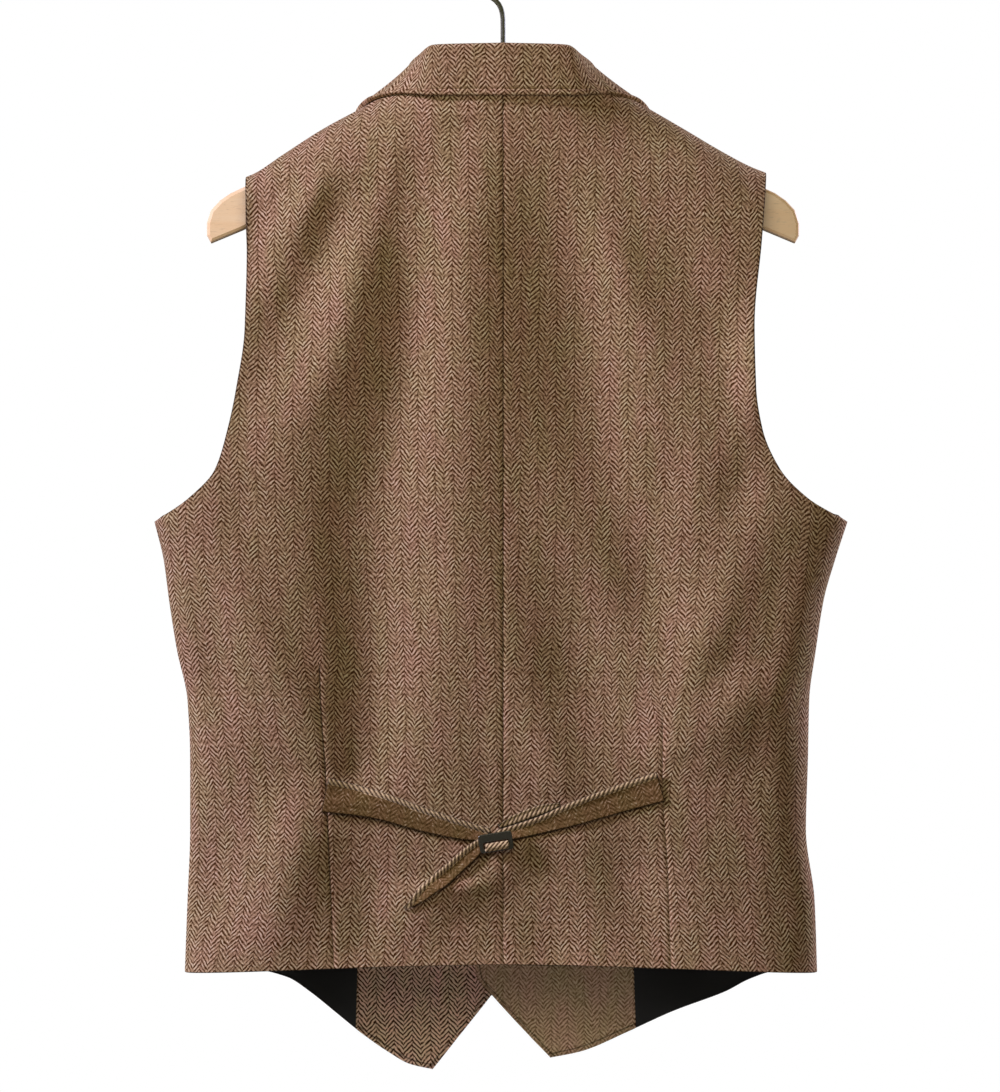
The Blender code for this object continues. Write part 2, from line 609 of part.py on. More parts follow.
# ---- The hanger -------------------------------------------------------------------------------
def make_hanger(finish, group, cutters):
    """A flat shaped arm, with a hole on top for the hook's stem."""
    half = list(zip(ARM["reach"], ARM["level"]))
    outline = half + [(-reach, level) for reach, level in half[-2:0:-1]]
    shape = bpy.data.curves.new("hanger", "CURVE")
    shape.dimensions = "2D"
    shape.fill_mode = "BOTH"
    shape.extrude = (WOOD_WALL / 2 - WOOD_ROUND) * MM
    shape.bevel_depth = WOOD_ROUND * MM
    shape.bevel_resolution = 1
    shape.offset = -WOOD_ROUND * MM
    spline = shape.splines.new("POLY")
    spline.points.add(len(outline) - 1)
    for point, (x, level) in zip(spline.points, outline):
        point.co = (x * MM, level * MM, 0, 1)
    spline.use_cyclic_u = True
    rough = bpy.data.objects.new("hanger outline", shape)
    rough.rotation_euler = (math.radians(90), 0, 0)
    group.objects.link(rough)

    data = solid_mesh(rough)
    made = add("hanger", data, finish, group)
    top = ARM["level"][0] * MM
    bpy.ops.mesh.primitive_cylinder_add(vertices=16, radius=(HOOK_WIRE + STEM_FIT) * MM,
                                        depth=2 * STEM_DEPTH * MM, location=(0, 0, top))
    cutter = bpy.context.object
    cutter.name = "stem hole"
    for home in list(cutter.users_collection):
        home.objects.unlink(cutter)
    cutters.objects.link(cutter)
    cutter.hide_render = True
    cutter.display_type = "WIRE"
    cut = made.modifiers.new("stem hole", "BOOLEAN")
    cut.operation = "DIFFERENCE"
    cut.object = cutter


def solid_mesh(rough):
    """The curve object as a welded mesh in world space; the curve object goes."""
    bpy.context.view_layer.update()
    graph = bpy.context.evaluated_depsgraph_get()
    data = bpy.data.meshes.new_from_object(rough.evaluated_get(graph))
    data.transform(rough.matrix_world)
    mesh = bmesh.new()
    mesh.from_mesh(data)
    bmesh.ops.remove_doubles(mesh, verts=mesh.verts, dist=1e-6)
    bmesh.ops.recalc_face_normals(mesh, faces=mesh.faces)
    mesh.to_mesh(data)
    mesh.free()
    bpy.data.objects.remove(rough)
    return data


def make_hook(finish, group):
    """A wire from its hole in the wood, bent aside and over into an open loop."""
    centre = HOOK_WIRE - HOOK_RADIUS
    start = math.radians(MOUTH_FROM)
    low = Vector((0, NECK_OF_HOOK))
    high = Vector((HOOK_RADIUS * math.cos(start), centre + HOOK_RADIUS * math.sin(start)))
    route = [Vector((0, ARM["level"][0] - STEM_DEPTH + STEM_FIT))]
    bend = 6
    for index in range(bend):
        t = index / bend
        pull_low = low + Vector((0, NECK_PULL))
        pull_high = high - Vector((-math.sin(start), math.cos(start))) * NECK_PULL
        route.append(low * (1 - t) ** 3 + pull_low * 3 * t * (1 - t) ** 2
                     + pull_high * 3 * t * t * (1 - t) + high * t ** 3)
    turns = 15
    for index in range(turns + 1):
        angle = math.radians(mix(MOUTH_FROM, MOUTH_TO, index / turns))
        route.append(Vector((HOOK_RADIUS * math.cos(angle), centre + HOOK_RADIUS * math.sin(angle))))
    wire = bpy.data.curves.new("hook", "CURVE")
    wire.dimensions = "3D"
    wire.bevel_depth = HOOK_WIRE * MM
    wire.bevel_resolution = 2
    wire.use_fill_caps = True
    spline = wire.splines.new("POLY")
    spline.points.add(len(route) - 1)
    for point, spot in zip(spline.points, route):
        point.co = (spot.x * MM, 0, spot.y * MM, 1)
    add("hook", wire, finish, group)


def main():
    for item in list(bpy.data.objects):
        bpy.data.objects.remove(item, do_unlink=True)
    parts = collection("waistcoat on hanger")
    cutters = collection("cutters")
    tweed = material("brown herringbone tweed", TWEED, 0.95)
    facing = material("herringbone tweed, inside", TWEED_DARK, 0.95)
    lining = material("black lining", LINING, 0.6)
    wood = material("pale beech, lacquered", WOOD, 0.4)
    steel = material("plated steel wire", STEEL, 0.25, 1.0)
    bronze = material("blackened metal", BRONZE, 0.35, 1.0)
    horn = material("dark horn", HORN, 0.35)

    for side in SIGN:
        make_back(side, tweed, parts)
        make_front(side, tweed, facing, lining, parts)
        make_lapel(side, tweed, parts)
    make_collar(tweed, parts)
    for name in BANDS:
        make_band(name, tweed, parts)
    make_loop(tweed, parts)
    make_slide(bronze, parts)
    for index in range(BUTTONS):
        make_button(index, horn, parts)
    make_hanger(wood, parts, cutters)
    make_hook(steel, parts)


main()
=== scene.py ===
# %% [markdown]
# # A tweed suit waistcoat on a wooden hanger
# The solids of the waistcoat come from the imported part. This lesson dresses them: every cloth
# piece is laid again as a fine thin shell on its solid's form, and gets its weave, seams,
# stitches and folds. Lengths in the tables are millimetres. The waistcoat faces -Y, the wearer's
# left is +X, "reach" is a distance out from the centre plane and "level" is a height.

# %% Load the frame
import math
from collections import namedtuple
from functools import partial

import bmesh
import bpy
import numpy as np
from mathutils import Matrix, Vector


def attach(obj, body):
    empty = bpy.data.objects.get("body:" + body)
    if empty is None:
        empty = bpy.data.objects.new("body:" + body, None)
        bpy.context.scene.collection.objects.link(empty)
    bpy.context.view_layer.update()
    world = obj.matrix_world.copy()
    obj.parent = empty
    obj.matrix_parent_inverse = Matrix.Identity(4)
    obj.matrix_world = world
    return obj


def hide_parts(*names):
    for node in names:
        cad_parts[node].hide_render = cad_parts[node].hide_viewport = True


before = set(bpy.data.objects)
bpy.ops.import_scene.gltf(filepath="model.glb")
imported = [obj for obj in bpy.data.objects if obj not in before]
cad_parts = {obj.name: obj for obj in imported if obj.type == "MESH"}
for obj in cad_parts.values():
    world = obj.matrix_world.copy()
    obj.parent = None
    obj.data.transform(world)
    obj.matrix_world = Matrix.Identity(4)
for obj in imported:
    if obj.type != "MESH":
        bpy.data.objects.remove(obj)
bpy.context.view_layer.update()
MM = 0.001
SIGN = {"left": 1, "right": -1}
print("frame with", len(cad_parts), "nodes")

# %% [markdown]
# ## Camera
# A long lens far away keeps upright seams upright, as a catalogue view of clothes needs. It looks
# square on at the back, at the height of the waistcoat's middle.

# %% Camera
SENSOR = 36
CAMERA_DISTANCE = 3.5
FRAME_WIDTH = 0.75   # metres across the frame, at the cloth's nearest face
NEAR_FACE = 0.035
camera_data = bpy.data.cameras.new("camera")
camera_data.sensor_fit = "HORIZONTAL"
camera_data.sensor_width = SENSOR
camera_data.lens = SENSOR * CAMERA_DISTANCE / FRAME_WIDTH
camera = bpy.data.objects.new("camera", camera_data)
camera.location = (0.00225, CAMERA_DISTANCE + NEAR_FACE, -0.44735)
camera.rotation_euler = (math.pi / 2, 0, math.pi)
bpy.context.collection.objects.link(camera)
bpy.context.scene.camera = camera
print("lens", camera_data.lens, "mm")

# %% [markdown]
# ## The pattern's tables
# A tailor's pattern is a list of measured points joined by smooth curves. Each table here is such
# a curve: its first column is read along, the others give the value there. They are the same
# numbers as in the part's source, so that each shell lies where its solid is.

# %% Tables of the outline
SEAM = 0.3
BACK_WALL, FRONT_WALL, FACING_WALL = 2.2, 1.6, 0.9
LAY = 1.2
CORNER, CROWN, FLANK = -429, 60, 7.5
NECK_REACH, BACK_NECK, BACK_HEM = 82, -106, -762.5
CENTRE_FRONT = 4
OVERLAP_RISE, OVERLAP_REACH = 1.7, 30
ARMHOLE_DEEPER = 3
CORNER_AT = 14 / 27
FACING_AT = 1 / 3
CORNER_ROW_LEVELS = {"centre back": -405, "front edge": -440, "facing": -437}
ROUND_SIDES, ROUND_SHOULDER = 0.7, 0.85

SIDE_SEAM = {
    "level": (-770, -715, -662, -609, -564, -526, -488, -458, -429),
    "left": (241, 239, 237, 237, 239, 247, 253, 257, 264),
    "right": (238, 236, 229.5, 231, 232, 237, 243, 251.5, 261),
}
ARMHOLE = {
    "rise": (0, 0.065, 0.15, 0.265, 0.38, 0.557, 0.787, 1),
    "left": (264, 238, 217, 207.5, 201, 194.3, 193, 195),
    "right": (261, 230.5, 208.5, 195, 190, 189, 194.5, 199.5),
}
SHOULDER = {
    "reach": (0, 82, 104, 136, 167, 187, 200),
    "left": (-53, -101.5, -114, -131.3, -151.2, -164.5, -170),
    "right": (-53, -100.5, -112.5, -131, -149.3, -159.8, -165),
}
BODY = {"level": (-429, -165), "left": (264, 232), "right": (261, 230)}
DEPTH = {"level": (-850, -640, -400, -100), "back": (29, 25, 29, 33), "front": (34, 30, 34, 36)}
FRONT_EDGE = {
    "left": {
        "level": (-847, -790, -764, -745, -398, -250, -101.5),
        "reach": (54, 8.5, -11, -14, -14, 32, NECK_REACH),
    },
    "right": {
        "level": (-838, -790, -776, -758, -398, -250, -100.5),
        "reach": (36, -8.5, -20, -22, -22, 32, NECK_REACH),
    },
}
FRONT_HEM = {
    "left": {
        "reach": (54, 71, 88, 110, 128.5, 148, 165, 188, 241),
        "level": (-847, -843, -833.5, -818, -803, -787.5, -776.5, -771, -770),
    },
    "right": {
        "reach": (36, 59, 96, 129, 170, 189, 208, 238),
        "level": (-838, -833.5, -818, -803, -787.5, -777.5, -771.5, -770),
    },
}
FACING_LINE = {
    "level": (-820, -700, -550, -440, -300, -125),
    "left": (112, 108, 98, 90, 95, 118),
    "right": (101, 97, 94, 90, 95, 118),
}

print(len(SIDE_SEAM["level"]), "points on a side seam,", len(ARMHOLE["rise"]), "on an armhole")

# %% [markdown]
# ## Folds of hanging cloth
# Cloth that hangs from two shoulders and is drawn in at the waist makes soft troughs and ridges
# that swell and fade. Each is a route from its upper end down, with a depth out of the body,
# a width, and the share of the way along where it is deepest. The first lists are the solids' own
# folds. The fine ones are shallower wrinkles that only the dressed cloth has.

# %% Tables of the folds
Fold = namedtuple("Fold", "name depth width peak route")


def fold_table(text):
    """Folds from lines of: name: depth width peak: x level, x level ... from the upper end down."""
    folds = []
    for line in text.strip().splitlines():
        name, size, route = line.split(":")
        places = tuple(tuple(map(float, place.split())) for place in route.split(","))
        folds.append(Fold(name, *map(float, size.split()), places))
    return folds


BACK_FOLDS = fold_table("""
left main trough: -10.5 25 0.78: 70 -109, 74 -262, 90 -407, 97 -537, 84 -660
centre ridge: 10.5 34 0.22: 11 -97, 28 -265, 31 -421, 34 -520, 48 -638
right main trough: -10 34 0.55: -50 -147, -57 -293, -82 -397, -119 -516
right waist valley: -9 32 0.53: -40 -419, -55 -532, -78 -585, -108 -662
right shoulder ridge: 5.6 18 0.51: -62 -155, -89 -246, -128 -332
right waist ridge: 5.1 19 0.58: -200 -406, -166 -490, -139 -560, -129 -618
right low waist ridge: 8.4 31 0.41: -189 -528, -162 -597, -135 -630
left blade ridge: 10.5 23 0.34: 94 -156, 120 -293, 155 -365, 180 -439
left armhole trough: -4.4 16 0.46: 102 -150, 135 -232, 170 -294, 192 -355
left armhole ridge: 5.1 12 0.4: 130 -149, 149 -200, 164 -243
left shoulder tip trough: -10.5 16 0.44: 164 -155, 187 -208, 196 -271
left waist ridge: 6.4 18 0.48: 220 -438, 185 -517, 153 -570, 133 -632
left skirt ridge: 10.5 28 0.38: 147 -607, 158 -684, 185 -798
left corner trough: -10.5 34 0.66: 239 -614, 236 -688, 237 -767
left skirt trough: -2.1 15 0.71: 110 -642, 100 -706, 108 -777
right skirt trough: -6 24 0.36: -82 -651, -99 -705, -119 -777
trough over the slide: -5.5 24 0.8: 22 -600, -3 -632, -24 -672
ridge right of the slide: 4.5 18 0.8: -12 -610, -18 -654, 24 -712
trough under the slide: -1.1 15 0.44: 1 -680, -2 -721, 32 -788
right armpit trough: -3.8 17 0.49: -179 -367, -178 -400, -170 -445
right blade trough: -5.9 23 0.58: -90 -405, -107 -462, -112 -542
left collar trough: -2.2 13 0.53: 42 -120, 25 -137, 2 -146
right collar trough: -7 25 0.56: -63 -101, -103 -139, -138 -173
right corner trough: -2.1 17 0.51: -208 -677, -209 -720, -214 -765
left side trough: -5.3 16 0.55: 238 -464, 221 -529, 205 -602
centre skirt trough: -3.8 22 0.67: -22 -695, -32 -735, -43 -781
left inner skirt ridge: 6.7 22 0.15: 32 -695, 61 -736, 56 -759
trough over the left strap: -4.3 20 0.85: 124 -543, 105 -592, 114 -642
left inner waist trough: -3.2 20 0.3: 60 -405, 66 -520, 79 -617
right shoulder hollow: -2.8 19 0.85: -124 -155, -132 -220, -175 -310
left blade trough: -6.3 21 0.3: 109 -347, 121 -450, 119 -560, 125 -636
right armhole ridge: 9 15 0.65: -202 -239, -189 -292, -193 -378
ridge over the right strap: 3.5 15 0.76: -15 -559, -31 -600, -51 -642
""")
FRONT_FOLDS = fold_table("""
left chest trough: -7 23 0.55: 124 -172, 112 -310, 104 -470, 112 -612
left chest ridge: 5.5 24 0.42: 156 -190, 150 -330, 158 -470
left armhole trough: -5 17 0.45: 178 -215, 176 -320, 200 -425
left waist trough: -6 19 0.6: 218 -462, 174 -560, 124 -642
left waist ridge: 4.5 18 0.5: 234 -520, 198 -600, 158 -676
left skirt ridge: 6 24 0.45: 102 -632, 124 -716, 138 -806
left skirt trough: -4.5 19 0.55: 160 -660, 176 -716, 186 -772
left button ridge: 2.5 18 0.5: 64 -430, 60 -560, 66 -704
right chest trough: -6.5 22 0.5: -116 -176, -126 -330, -108 -556
right chest ridge: 5 21 0.6: -158 -210, -166 -350, -148 -500
right armhole trough: -4 16 0.55: -186 -240, -180 -340, -206 -428
right waist trough: -6.5 18 0.5: -214 -480, -158 -576, -104 -648
right inner ridge: 3.5 20 0.45: -72 -420, -66 -560, -78 -690
right waist ridge: 4 17 0.6: -226 -556, -190 -618, -150 -668
right skirt ridge: 5 22 0.5: -98 -656, -124 -726, -140 -802
right skirt trough: -4 18 0.5: -182 -660, -196 -714, -200 -768
""")
FINE_BACK_FOLDS = fold_table("""
left inner shoulder ridge: 1.8 9 0.69: 79 -111, 82 -150, 93 -215
left armhole edge ridge: 1.2 6 0.46: 160 -135, 175 -177, 190 -235
pull to the left strap: -0.8 6 0.7: 184 -594, 156 -612, 131 -626
pull to the right strap: -0.8 6 0.7: -176 -588, -146 -605, -119 -620
right blade crease: -0.9 9 0.46: -122 -299, -135 -391, -159 -449
right hip ridge: 2.7 14 0.48: -223 -467, -207 -560, -206 -690
crease over the slide: -0.8 8 0.68: 21 -559, 16 -610, 9 -649
right shoulder dimple: -0.7 11 0.51: -150 -176, -171 -200, -180 -237
left corner dip: -2.4 15 0.51: 220 -384, 201 -410, 188 -455
right side ridge: 3 16 0.2: -238 -429, -217 -562, -218 -650, -224 -763
hollow over the left strap: -2.2 9 0.82: 122 -552, 116 -596, 113 -628
hollow right of the slide: -1.8 12 0.45: -14 -658, -28 -680, -42 -710
left low dip: -1.7 14 0.48: 222 -639, 217 -690, 213 -750
left armhole low trough: -2.1 16 0.5: 174 -300, 199 -343, 206 -399
ridge above the slide: 1.3 15 0.69: -13 -479, -14 -552, -35 -609
right blade dip: -2.3 15 0.72: -94 -322, -118 -370, -126 -441
right inner hip ridge: 1.5 16 0.35: -196 -466, -183 -560, -177 -639
left dart ridge: 0.8 8 0.6: 139 -440, 131 -540, 130 -621
right waist crease: 1 11 0.49: -68 -559, -85 -610, -95 -639
right hip dip: -1.1 16 0.51: -160 -660, -179 -710, -175 -767
""")
FINE_FRONT_FOLDS = fold_table("""
left pull at the top button: -1.5 7 0.3: 22 -410, 62 -436, 110 -450
left pull at the waist: -1.6 7 0.3: 22 -570, 70 -584, 130 -592
right pull at the top button: -1.4 7 0.3: -28 -412, -70 -440, -118 -452
right pull at the waist: -1.5 7 0.3: -30 -572, -76 -586, -136 -598
left armhole crease: -1.5 8 0.5: 196 -360, 170 -410, 158 -470
right armhole crease: -1.5 8 0.5: -190 -356, -168 -405, -150 -468
left flank trough: -1.8 10 0.5: 224 -520, 208 -620, 212 -720
right flank trough: -2 10 0.5: -218 -500, -204 -620, -206 -710
""")
print(len(BACK_FOLDS) + len(FRONT_FOLDS), "folds and",
      len(FINE_BACK_FOLDS) + len(FINE_FRONT_FOLDS), "fine ones")

# %% [markdown]
# ## Reading the tables
# The curve through a table's points must not swing past them, or a hem would ripple between its
# measured points. A monotone cubic does that. It is written for whole arrays, because one panel
# has tens of thousands of points.

# %% Curves through tables
def mix(start, end, share):
    return start + (end - start) * share


def ease(share):
    share = np.clip(share, 0, 1)
    return share * share * (3 - 2 * share)


def read(table, column, at):
    """A table's column at places along its first one, on a curve that doesn't overshoot."""
    keys = np.array(next(iter(table.values())), float)
    values = np.array(table[column], float)
    at = np.clip(np.asarray(at, float), keys[0], keys[-1])
    rise = np.diff(values) / np.diff(keys)
    before, after = rise[:-1], rise[1:]
    together = np.where(before * after > 0, before + after, 1)
    middle = np.where(before * after > 0, 2 * before * after / together, 0)
    slope = np.concatenate((rise[:1], middle, rise[-1:]))
    k = np.clip(np.searchsorted(keys, at, side="right") - 1, 0, len(keys) - 2)
    step = np.diff(keys)[k]
    t = (at - keys[k]) / step
    first, second = slope[k] * step, slope[k + 1] * step
    gap = values[k + 1] - values[k]
    return values[k] + t * (first + t * (3 * gap - 2 * first - second
                                         + t * (first + second - 2 * gap)))


def spread(share, round_part):
    """Crowd the lines of a grid towards its far edge, where the cloth turns away."""
    return mix(share, np.sin(share * math.pi / 2), round_part)


print("the left armhole half way up stands", round(float(read(ARMHOLE, "left", 0.5)), 1), "mm out")

# %% [markdown]
# ## The cloth as a surface
# Seen from above, the hanging body is a flattened oval. Near the shoulder line the cloth turns
# over the hanger's arm. Its depth is read from those two curves, and the folds are added to it.

# %% Depth of the cloth
def fold_height(folds, x, level):
    """Height of the folds at a spot. Each swells and fades between the two ends of its route."""
    total = np.zeros(np.broadcast(x, level).shape)
    for fold in folds:
        reaches, levels = zip(*reversed(fold.route))
        line = {"level": levels, "x": reaches}
        share = (levels[-1] - level) / (levels[-1] - levels[0])
        lean = (read(line, "x", level + 1) - read(line, "x", level - 1)) / 2
        away = (x - read(line, "x", level)) / fold.width / np.hypot(1, lean)
        strength = np.where(share < fold.peak, ease(share / fold.peak),
                            ease((1 - share) / (1 - fold.peak)))
        total += fold.depth * strength * np.exp(-away ** 2)
    return total


def drift(x, level, pace, turn):
    """A slow even unrest between -1 and 1, about as long as pace."""
    a = np.sin((x * 0.93 + level * 0.31) / pace + turn)
    b = np.sin((level * 1.07 - x * 0.42) / (pace * 1.61) + 2.1 * turn)
    c = np.sin((x * 0.37 + level * 0.88) / (pace * 0.57) + 0.7 * turn)
    return (a + b + 0.5 * c) / 2.5


UNREST = 0.3   # height of the cloth's slow unrest between its folds


def cloth_y(face, x, level):
    """Y of the cloth's outer face, in millimetres: front or back, at a spot seen square on."""
    x, level = np.broadcast_arrays(np.asarray(x, float), np.asarray(level, float))
    left = x >= 0
    reach = np.abs(x)

    def sided(table):
        return np.where(left, read(table, "left", level), read(table, "right", level))

    width = np.where(level < CORNER, sided(SIDE_SEAM), sided(BODY))
    flank = np.sqrt(np.clip(1 - np.minimum(1, reach / width) ** FLANK, 0, 1))
    over = np.where(left, read(SHOULDER, "left", reach), read(SHOULDER, "right", reach))
    drop = np.clip((over - level) / CROWN, 0, 1)
    crown = np.sqrt(1 - (1 - drop) ** 2)
    main = BACK_FOLDS if face == "back" else FRONT_FOLDS
    fine = FINE_BACK_FOLDS if face == "back" else FINE_FRONT_FOLDS
    folds = fold_height(main, x, level) + fold_height(fine, x, level)
    folds = folds + UNREST * drift(x, level, 17, 1.3 if face == "back" else 4.1)
    out = (read(DEPTH, face, level) + folds) * flank * crown + SEAM / 2
    return out if face == "back" else -out


def overlap(side, x):
    """The left front buttons over the right one, so near the centre they part."""
    away = (np.abs(x - CENTRE_FRONT) - OVERLAP_REACH) / OVERLAP_REACH
    return OVERLAP_RISE * (1 - ease(away)) * SIGN[side]


print("back at the waist stands", round(float(cloth_y("back", 0, -640)), 1), "mm out")

# %% [markdown]
# ## Where a spot lies on the flat cloth
# The weave is printed on the flat cloth, so each spot needs its place there. Across, that is the
# distance walked over ridges and troughs from the centre seam at one level. Along, it is the
# distance walked up over the shoulder. Both are summed once on a regular grid for each half.

# %% Flat places
FLAT_STEP = 3
FLAT_REACH = np.arange(0, 275, FLAT_STEP, dtype=float)
FLAT_LEVEL = np.arange(-860, -60, FLAT_STEP, dtype=float)


def walked_tables(face, side):
    reach, level = np.meshgrid(FLAT_REACH, FLAT_LEVEL)
    y = cloth_y(face, np.maximum(reach, 0.01) * SIGN[side], level)
    tables = []
    for axis in (1, 0):
        steps = np.hypot(np.diff(y, axis=axis), FLAT_STEP)
        start = np.zeros_like(np.take(steps, [0], axis=axis))
        tables.append(np.concatenate((start, np.cumsum(steps, axis=axis)), axis=axis))
    return tables


FLAT_TABLES = {(face, side): walked_tables(face, side) for face in ("back", "front") for side in SIGN}


def flat_place(face, side, x, level):
    """Millimetres walked over the cloth, out from the centre line and up from far below."""
    column = np.clip(np.abs(x) / FLAT_STEP, 0, len(FLAT_REACH) - 1.001)
    row = np.clip((level - FLAT_LEVEL[0]) / FLAT_STEP, 0, len(FLAT_LEVEL) - 1.001)
    i, j = column.astype(int), row.astype(int)
    s, t = column - i, row - j
    places = []
    for table in FLAT_TABLES[face, side]:
        low = mix(table[j, i], table[j, i + 1], s)
        places.append(mix(low, mix(table[j + 1, i], table[j + 1, i + 1], s), t))
    return places


waist_walk = flat_place("back", "left", np.array([230.0]), np.array([-640.0]))[0]
print("across half the waist the cloth measures", round(float(waist_walk[0]), 1), "mm")

# %% [markdown]
# ## Panels between four edges
# Each panel of the pattern is a field between four edges: hem, side, top and centre. A Coons
# patch fills it, so grid lines run along the edges and the grain stays upright.

# %% Panels seen square on
def patch(bottom, top, inner, outer, u, v):
    """A point (reach, level) in a field between four edges, each a function of its own share."""
    corners = (bottom(0), bottom(1), top(0), top(1))
    sides = bottom(u), top(u), inner(v), outer(v)
    field = []
    for axis in (0, 1):
        ruled = mix(sides[0][axis], sides[1][axis], v) + mix(sides[2][axis], sides[3][axis], u)
        low = mix(corners[0][axis], corners[1][axis], u)
        high = mix(corners[2][axis], corners[3][axis], u)
        field.append(ruled - mix(low, high, v))
    return field


def climb(v, bottom, corner, top):
    """Level at a share v of the way up, passing the armhole's corner level on the same row."""
    below = mix(bottom, corner, v / CORNER_AT)
    above = mix(corner, top, (v - CORNER_AT) / (1 - CORNER_AT))
    return np.where(np.asarray(v) < CORNER_AT, below, above)


def outer_edge(side, v, deeper=0):
    tip_reach = ARMHOLE[side][-1]
    level = climb(v, SIDE_SEAM["level"][0], CORNER, read(SHOULDER, side, tip_reach))
    rise = np.clip((v - CORNER_AT) / (1 - CORNER_AT), 0, 1)
    armhole = read(ARMHOLE, side, rise) - deeper * np.sin(rise * math.pi)
    return np.where(np.asarray(v) <= CORNER_AT, read(SIDE_SEAM, side, level), armhole), level


def crowd_rows(v):
    crowded = mix(CORNER_AT, 1, spread((v - CORNER_AT) / (1 - CORNER_AT), ROUND_SHOULDER))
    return np.where(v <= CORNER_AT, v, crowded)

print("the armhole's corner row is", round(CORNER_AT, 3), "of the way up")

# %% [markdown]
# The back runs from the centre seam out, and the front from its own edge by way of the facing's
# line. Both meet the shoulder and the same outer edge.

# %% The two panels of a side
def back_spot(side, u, v):
    """X and level on one half of the back: u from the centre seam out, v from the hem up."""
    side_reach, side_hem = SIDE_SEAM[side][0], SIDE_SEAM["level"][0]
    tip_reach = ARMHOLE[side][-1]

    def hem(share):
        return share * side_reach, mix(BACK_HEM, side_hem, share ** 1.5)

    def top(share):
        reach = share * tip_reach
        neck = mix(BACK_NECK, read(SHOULDER, side, NECK_REACH), (reach / NECK_REACH) ** 2)
        return reach, np.where(reach < NECK_REACH, neck, read(SHOULDER, side, reach))

    def centre(share):
        return 0 * share, climb(share, BACK_HEM, CORNER_ROW_LEVELS["centre back"], BACK_NECK)

    reach, level = patch(hem, top, centre, lambda share: outer_edge(side, share), u, v)
    return reach * SIGN[side], level


def front_spot(side, u, v):
    """X and level on one front: u from its front edge out, v from its hem up."""
    edge, hem = FRONT_EDGE[side], FRONT_HEM[side]
    facing_hem = FACING_LINE[side][0]

    def front_edge(share):
        level = climb(share, edge["level"][0], CORNER_ROW_LEVELS["front edge"], edge["level"][-1])
        return read(edge, "reach", level), level

    def facing_line(share):
        low = read(hem, "level", facing_hem)
        top = read(SHOULDER, side, FACING_LINE[side][-1])
        level = climb(share, low, CORNER_ROW_LEVELS["facing"], top)
        return read(FACING_LINE, side, level), level

    def along(table, column, start, end):
        return lambda share: (mix(start, end, share), read(table, column, mix(start, end, share)))

    tip, facing_top = ARMHOLE[side][-1], FACING_LINE[side][-1]
    facing = patch(along(hem, "level", hem["reach"][0], facing_hem),
                   along(SHOULDER, side, NECK_REACH, facing_top),
                   front_edge, facing_line, u / FACING_AT, v)
    across = spread((u - FACING_AT) / (1 - FACING_AT), ROUND_SIDES)
    rest = patch(along(hem, "level", facing_hem, hem["reach"][-1]),
                 along(SHOULDER, side, facing_top, tip),
                 facing_line, lambda share: outer_edge(side, share, ARMHOLE_DEEPER), across, v)
    reach, level = (np.where(u < FACING_AT, a, b) for a, b in zip(facing, rest))
    return reach * SIGN[side], level


print("the left back's lower corner:", [round(float(c), 1) for c in back_spot("left", 1.0, 0.0)])

# %% [markdown]
# ## Thin shells
# Cloth has two faces and an edge. A shell is built from one grid of points: the face, the same
# grid set in along its normals, and a rim between them. It carries two maps. "cut" is the place
# on the flat cloth in metres, across and along the grain, and "lay" is the distance in metres from
# the nearest seam, sewn row or edge, which the weave reads to paint shade there: a dark line that
# stands for the shade in a seam's groove or on a turned edge.

# %% Shell builder
def grid_normals(points, turn):
    across = np.gradient(points, axis=1)
    up = np.gradient(points, axis=0)
    normals = np.cross(across, up) * turn
    return normals / np.maximum(np.linalg.norm(normals, axis=2, keepdims=True), 1e-12)


def arc(points, axis):
    """Length walked along a grid's lines, starting from nought."""
    steps = np.linalg.norm(np.diff(points, axis=axis), axis=2)
    start = np.zeros_like(np.take(steps, [0], axis=axis))
    return np.concatenate((start, np.cumsum(steps, axis=axis)), axis=axis)


def round_rim(outer, normals, rims, radius):
    """Set the face in near the chosen rims, so that a turned edge looks round."""
    sunk = np.zeros(outer.shape[:2])
    walk_u, walk_v = arc(outer, 1), arc(outer, 0)
    distances = {
        "start": walk_u, "end": walk_u[:, -1:] - walk_u,
        "low": walk_v, "high": walk_v[-1:, :] - walk_v,
    }
    for rim in rims:
        inside = np.clip(1 - distances[rim] / radius, 0, 1)
        sunk = np.maximum(sunk, radius * (1 - np.sqrt(1 - inside ** 2)))
    return outer - normals * sunk[..., None]

print("helpers for grids ready")

# %% [markdown]
# The mesh has the face, the back and the rim, in that order, so that a finish can be given to each.

# %% A shell from a grid
FAR_AWAY = 50   # millimetres, where no painted shade of a seam or edge darkens the weave
ALL_RIMS = ("low", "high", "start", "end")


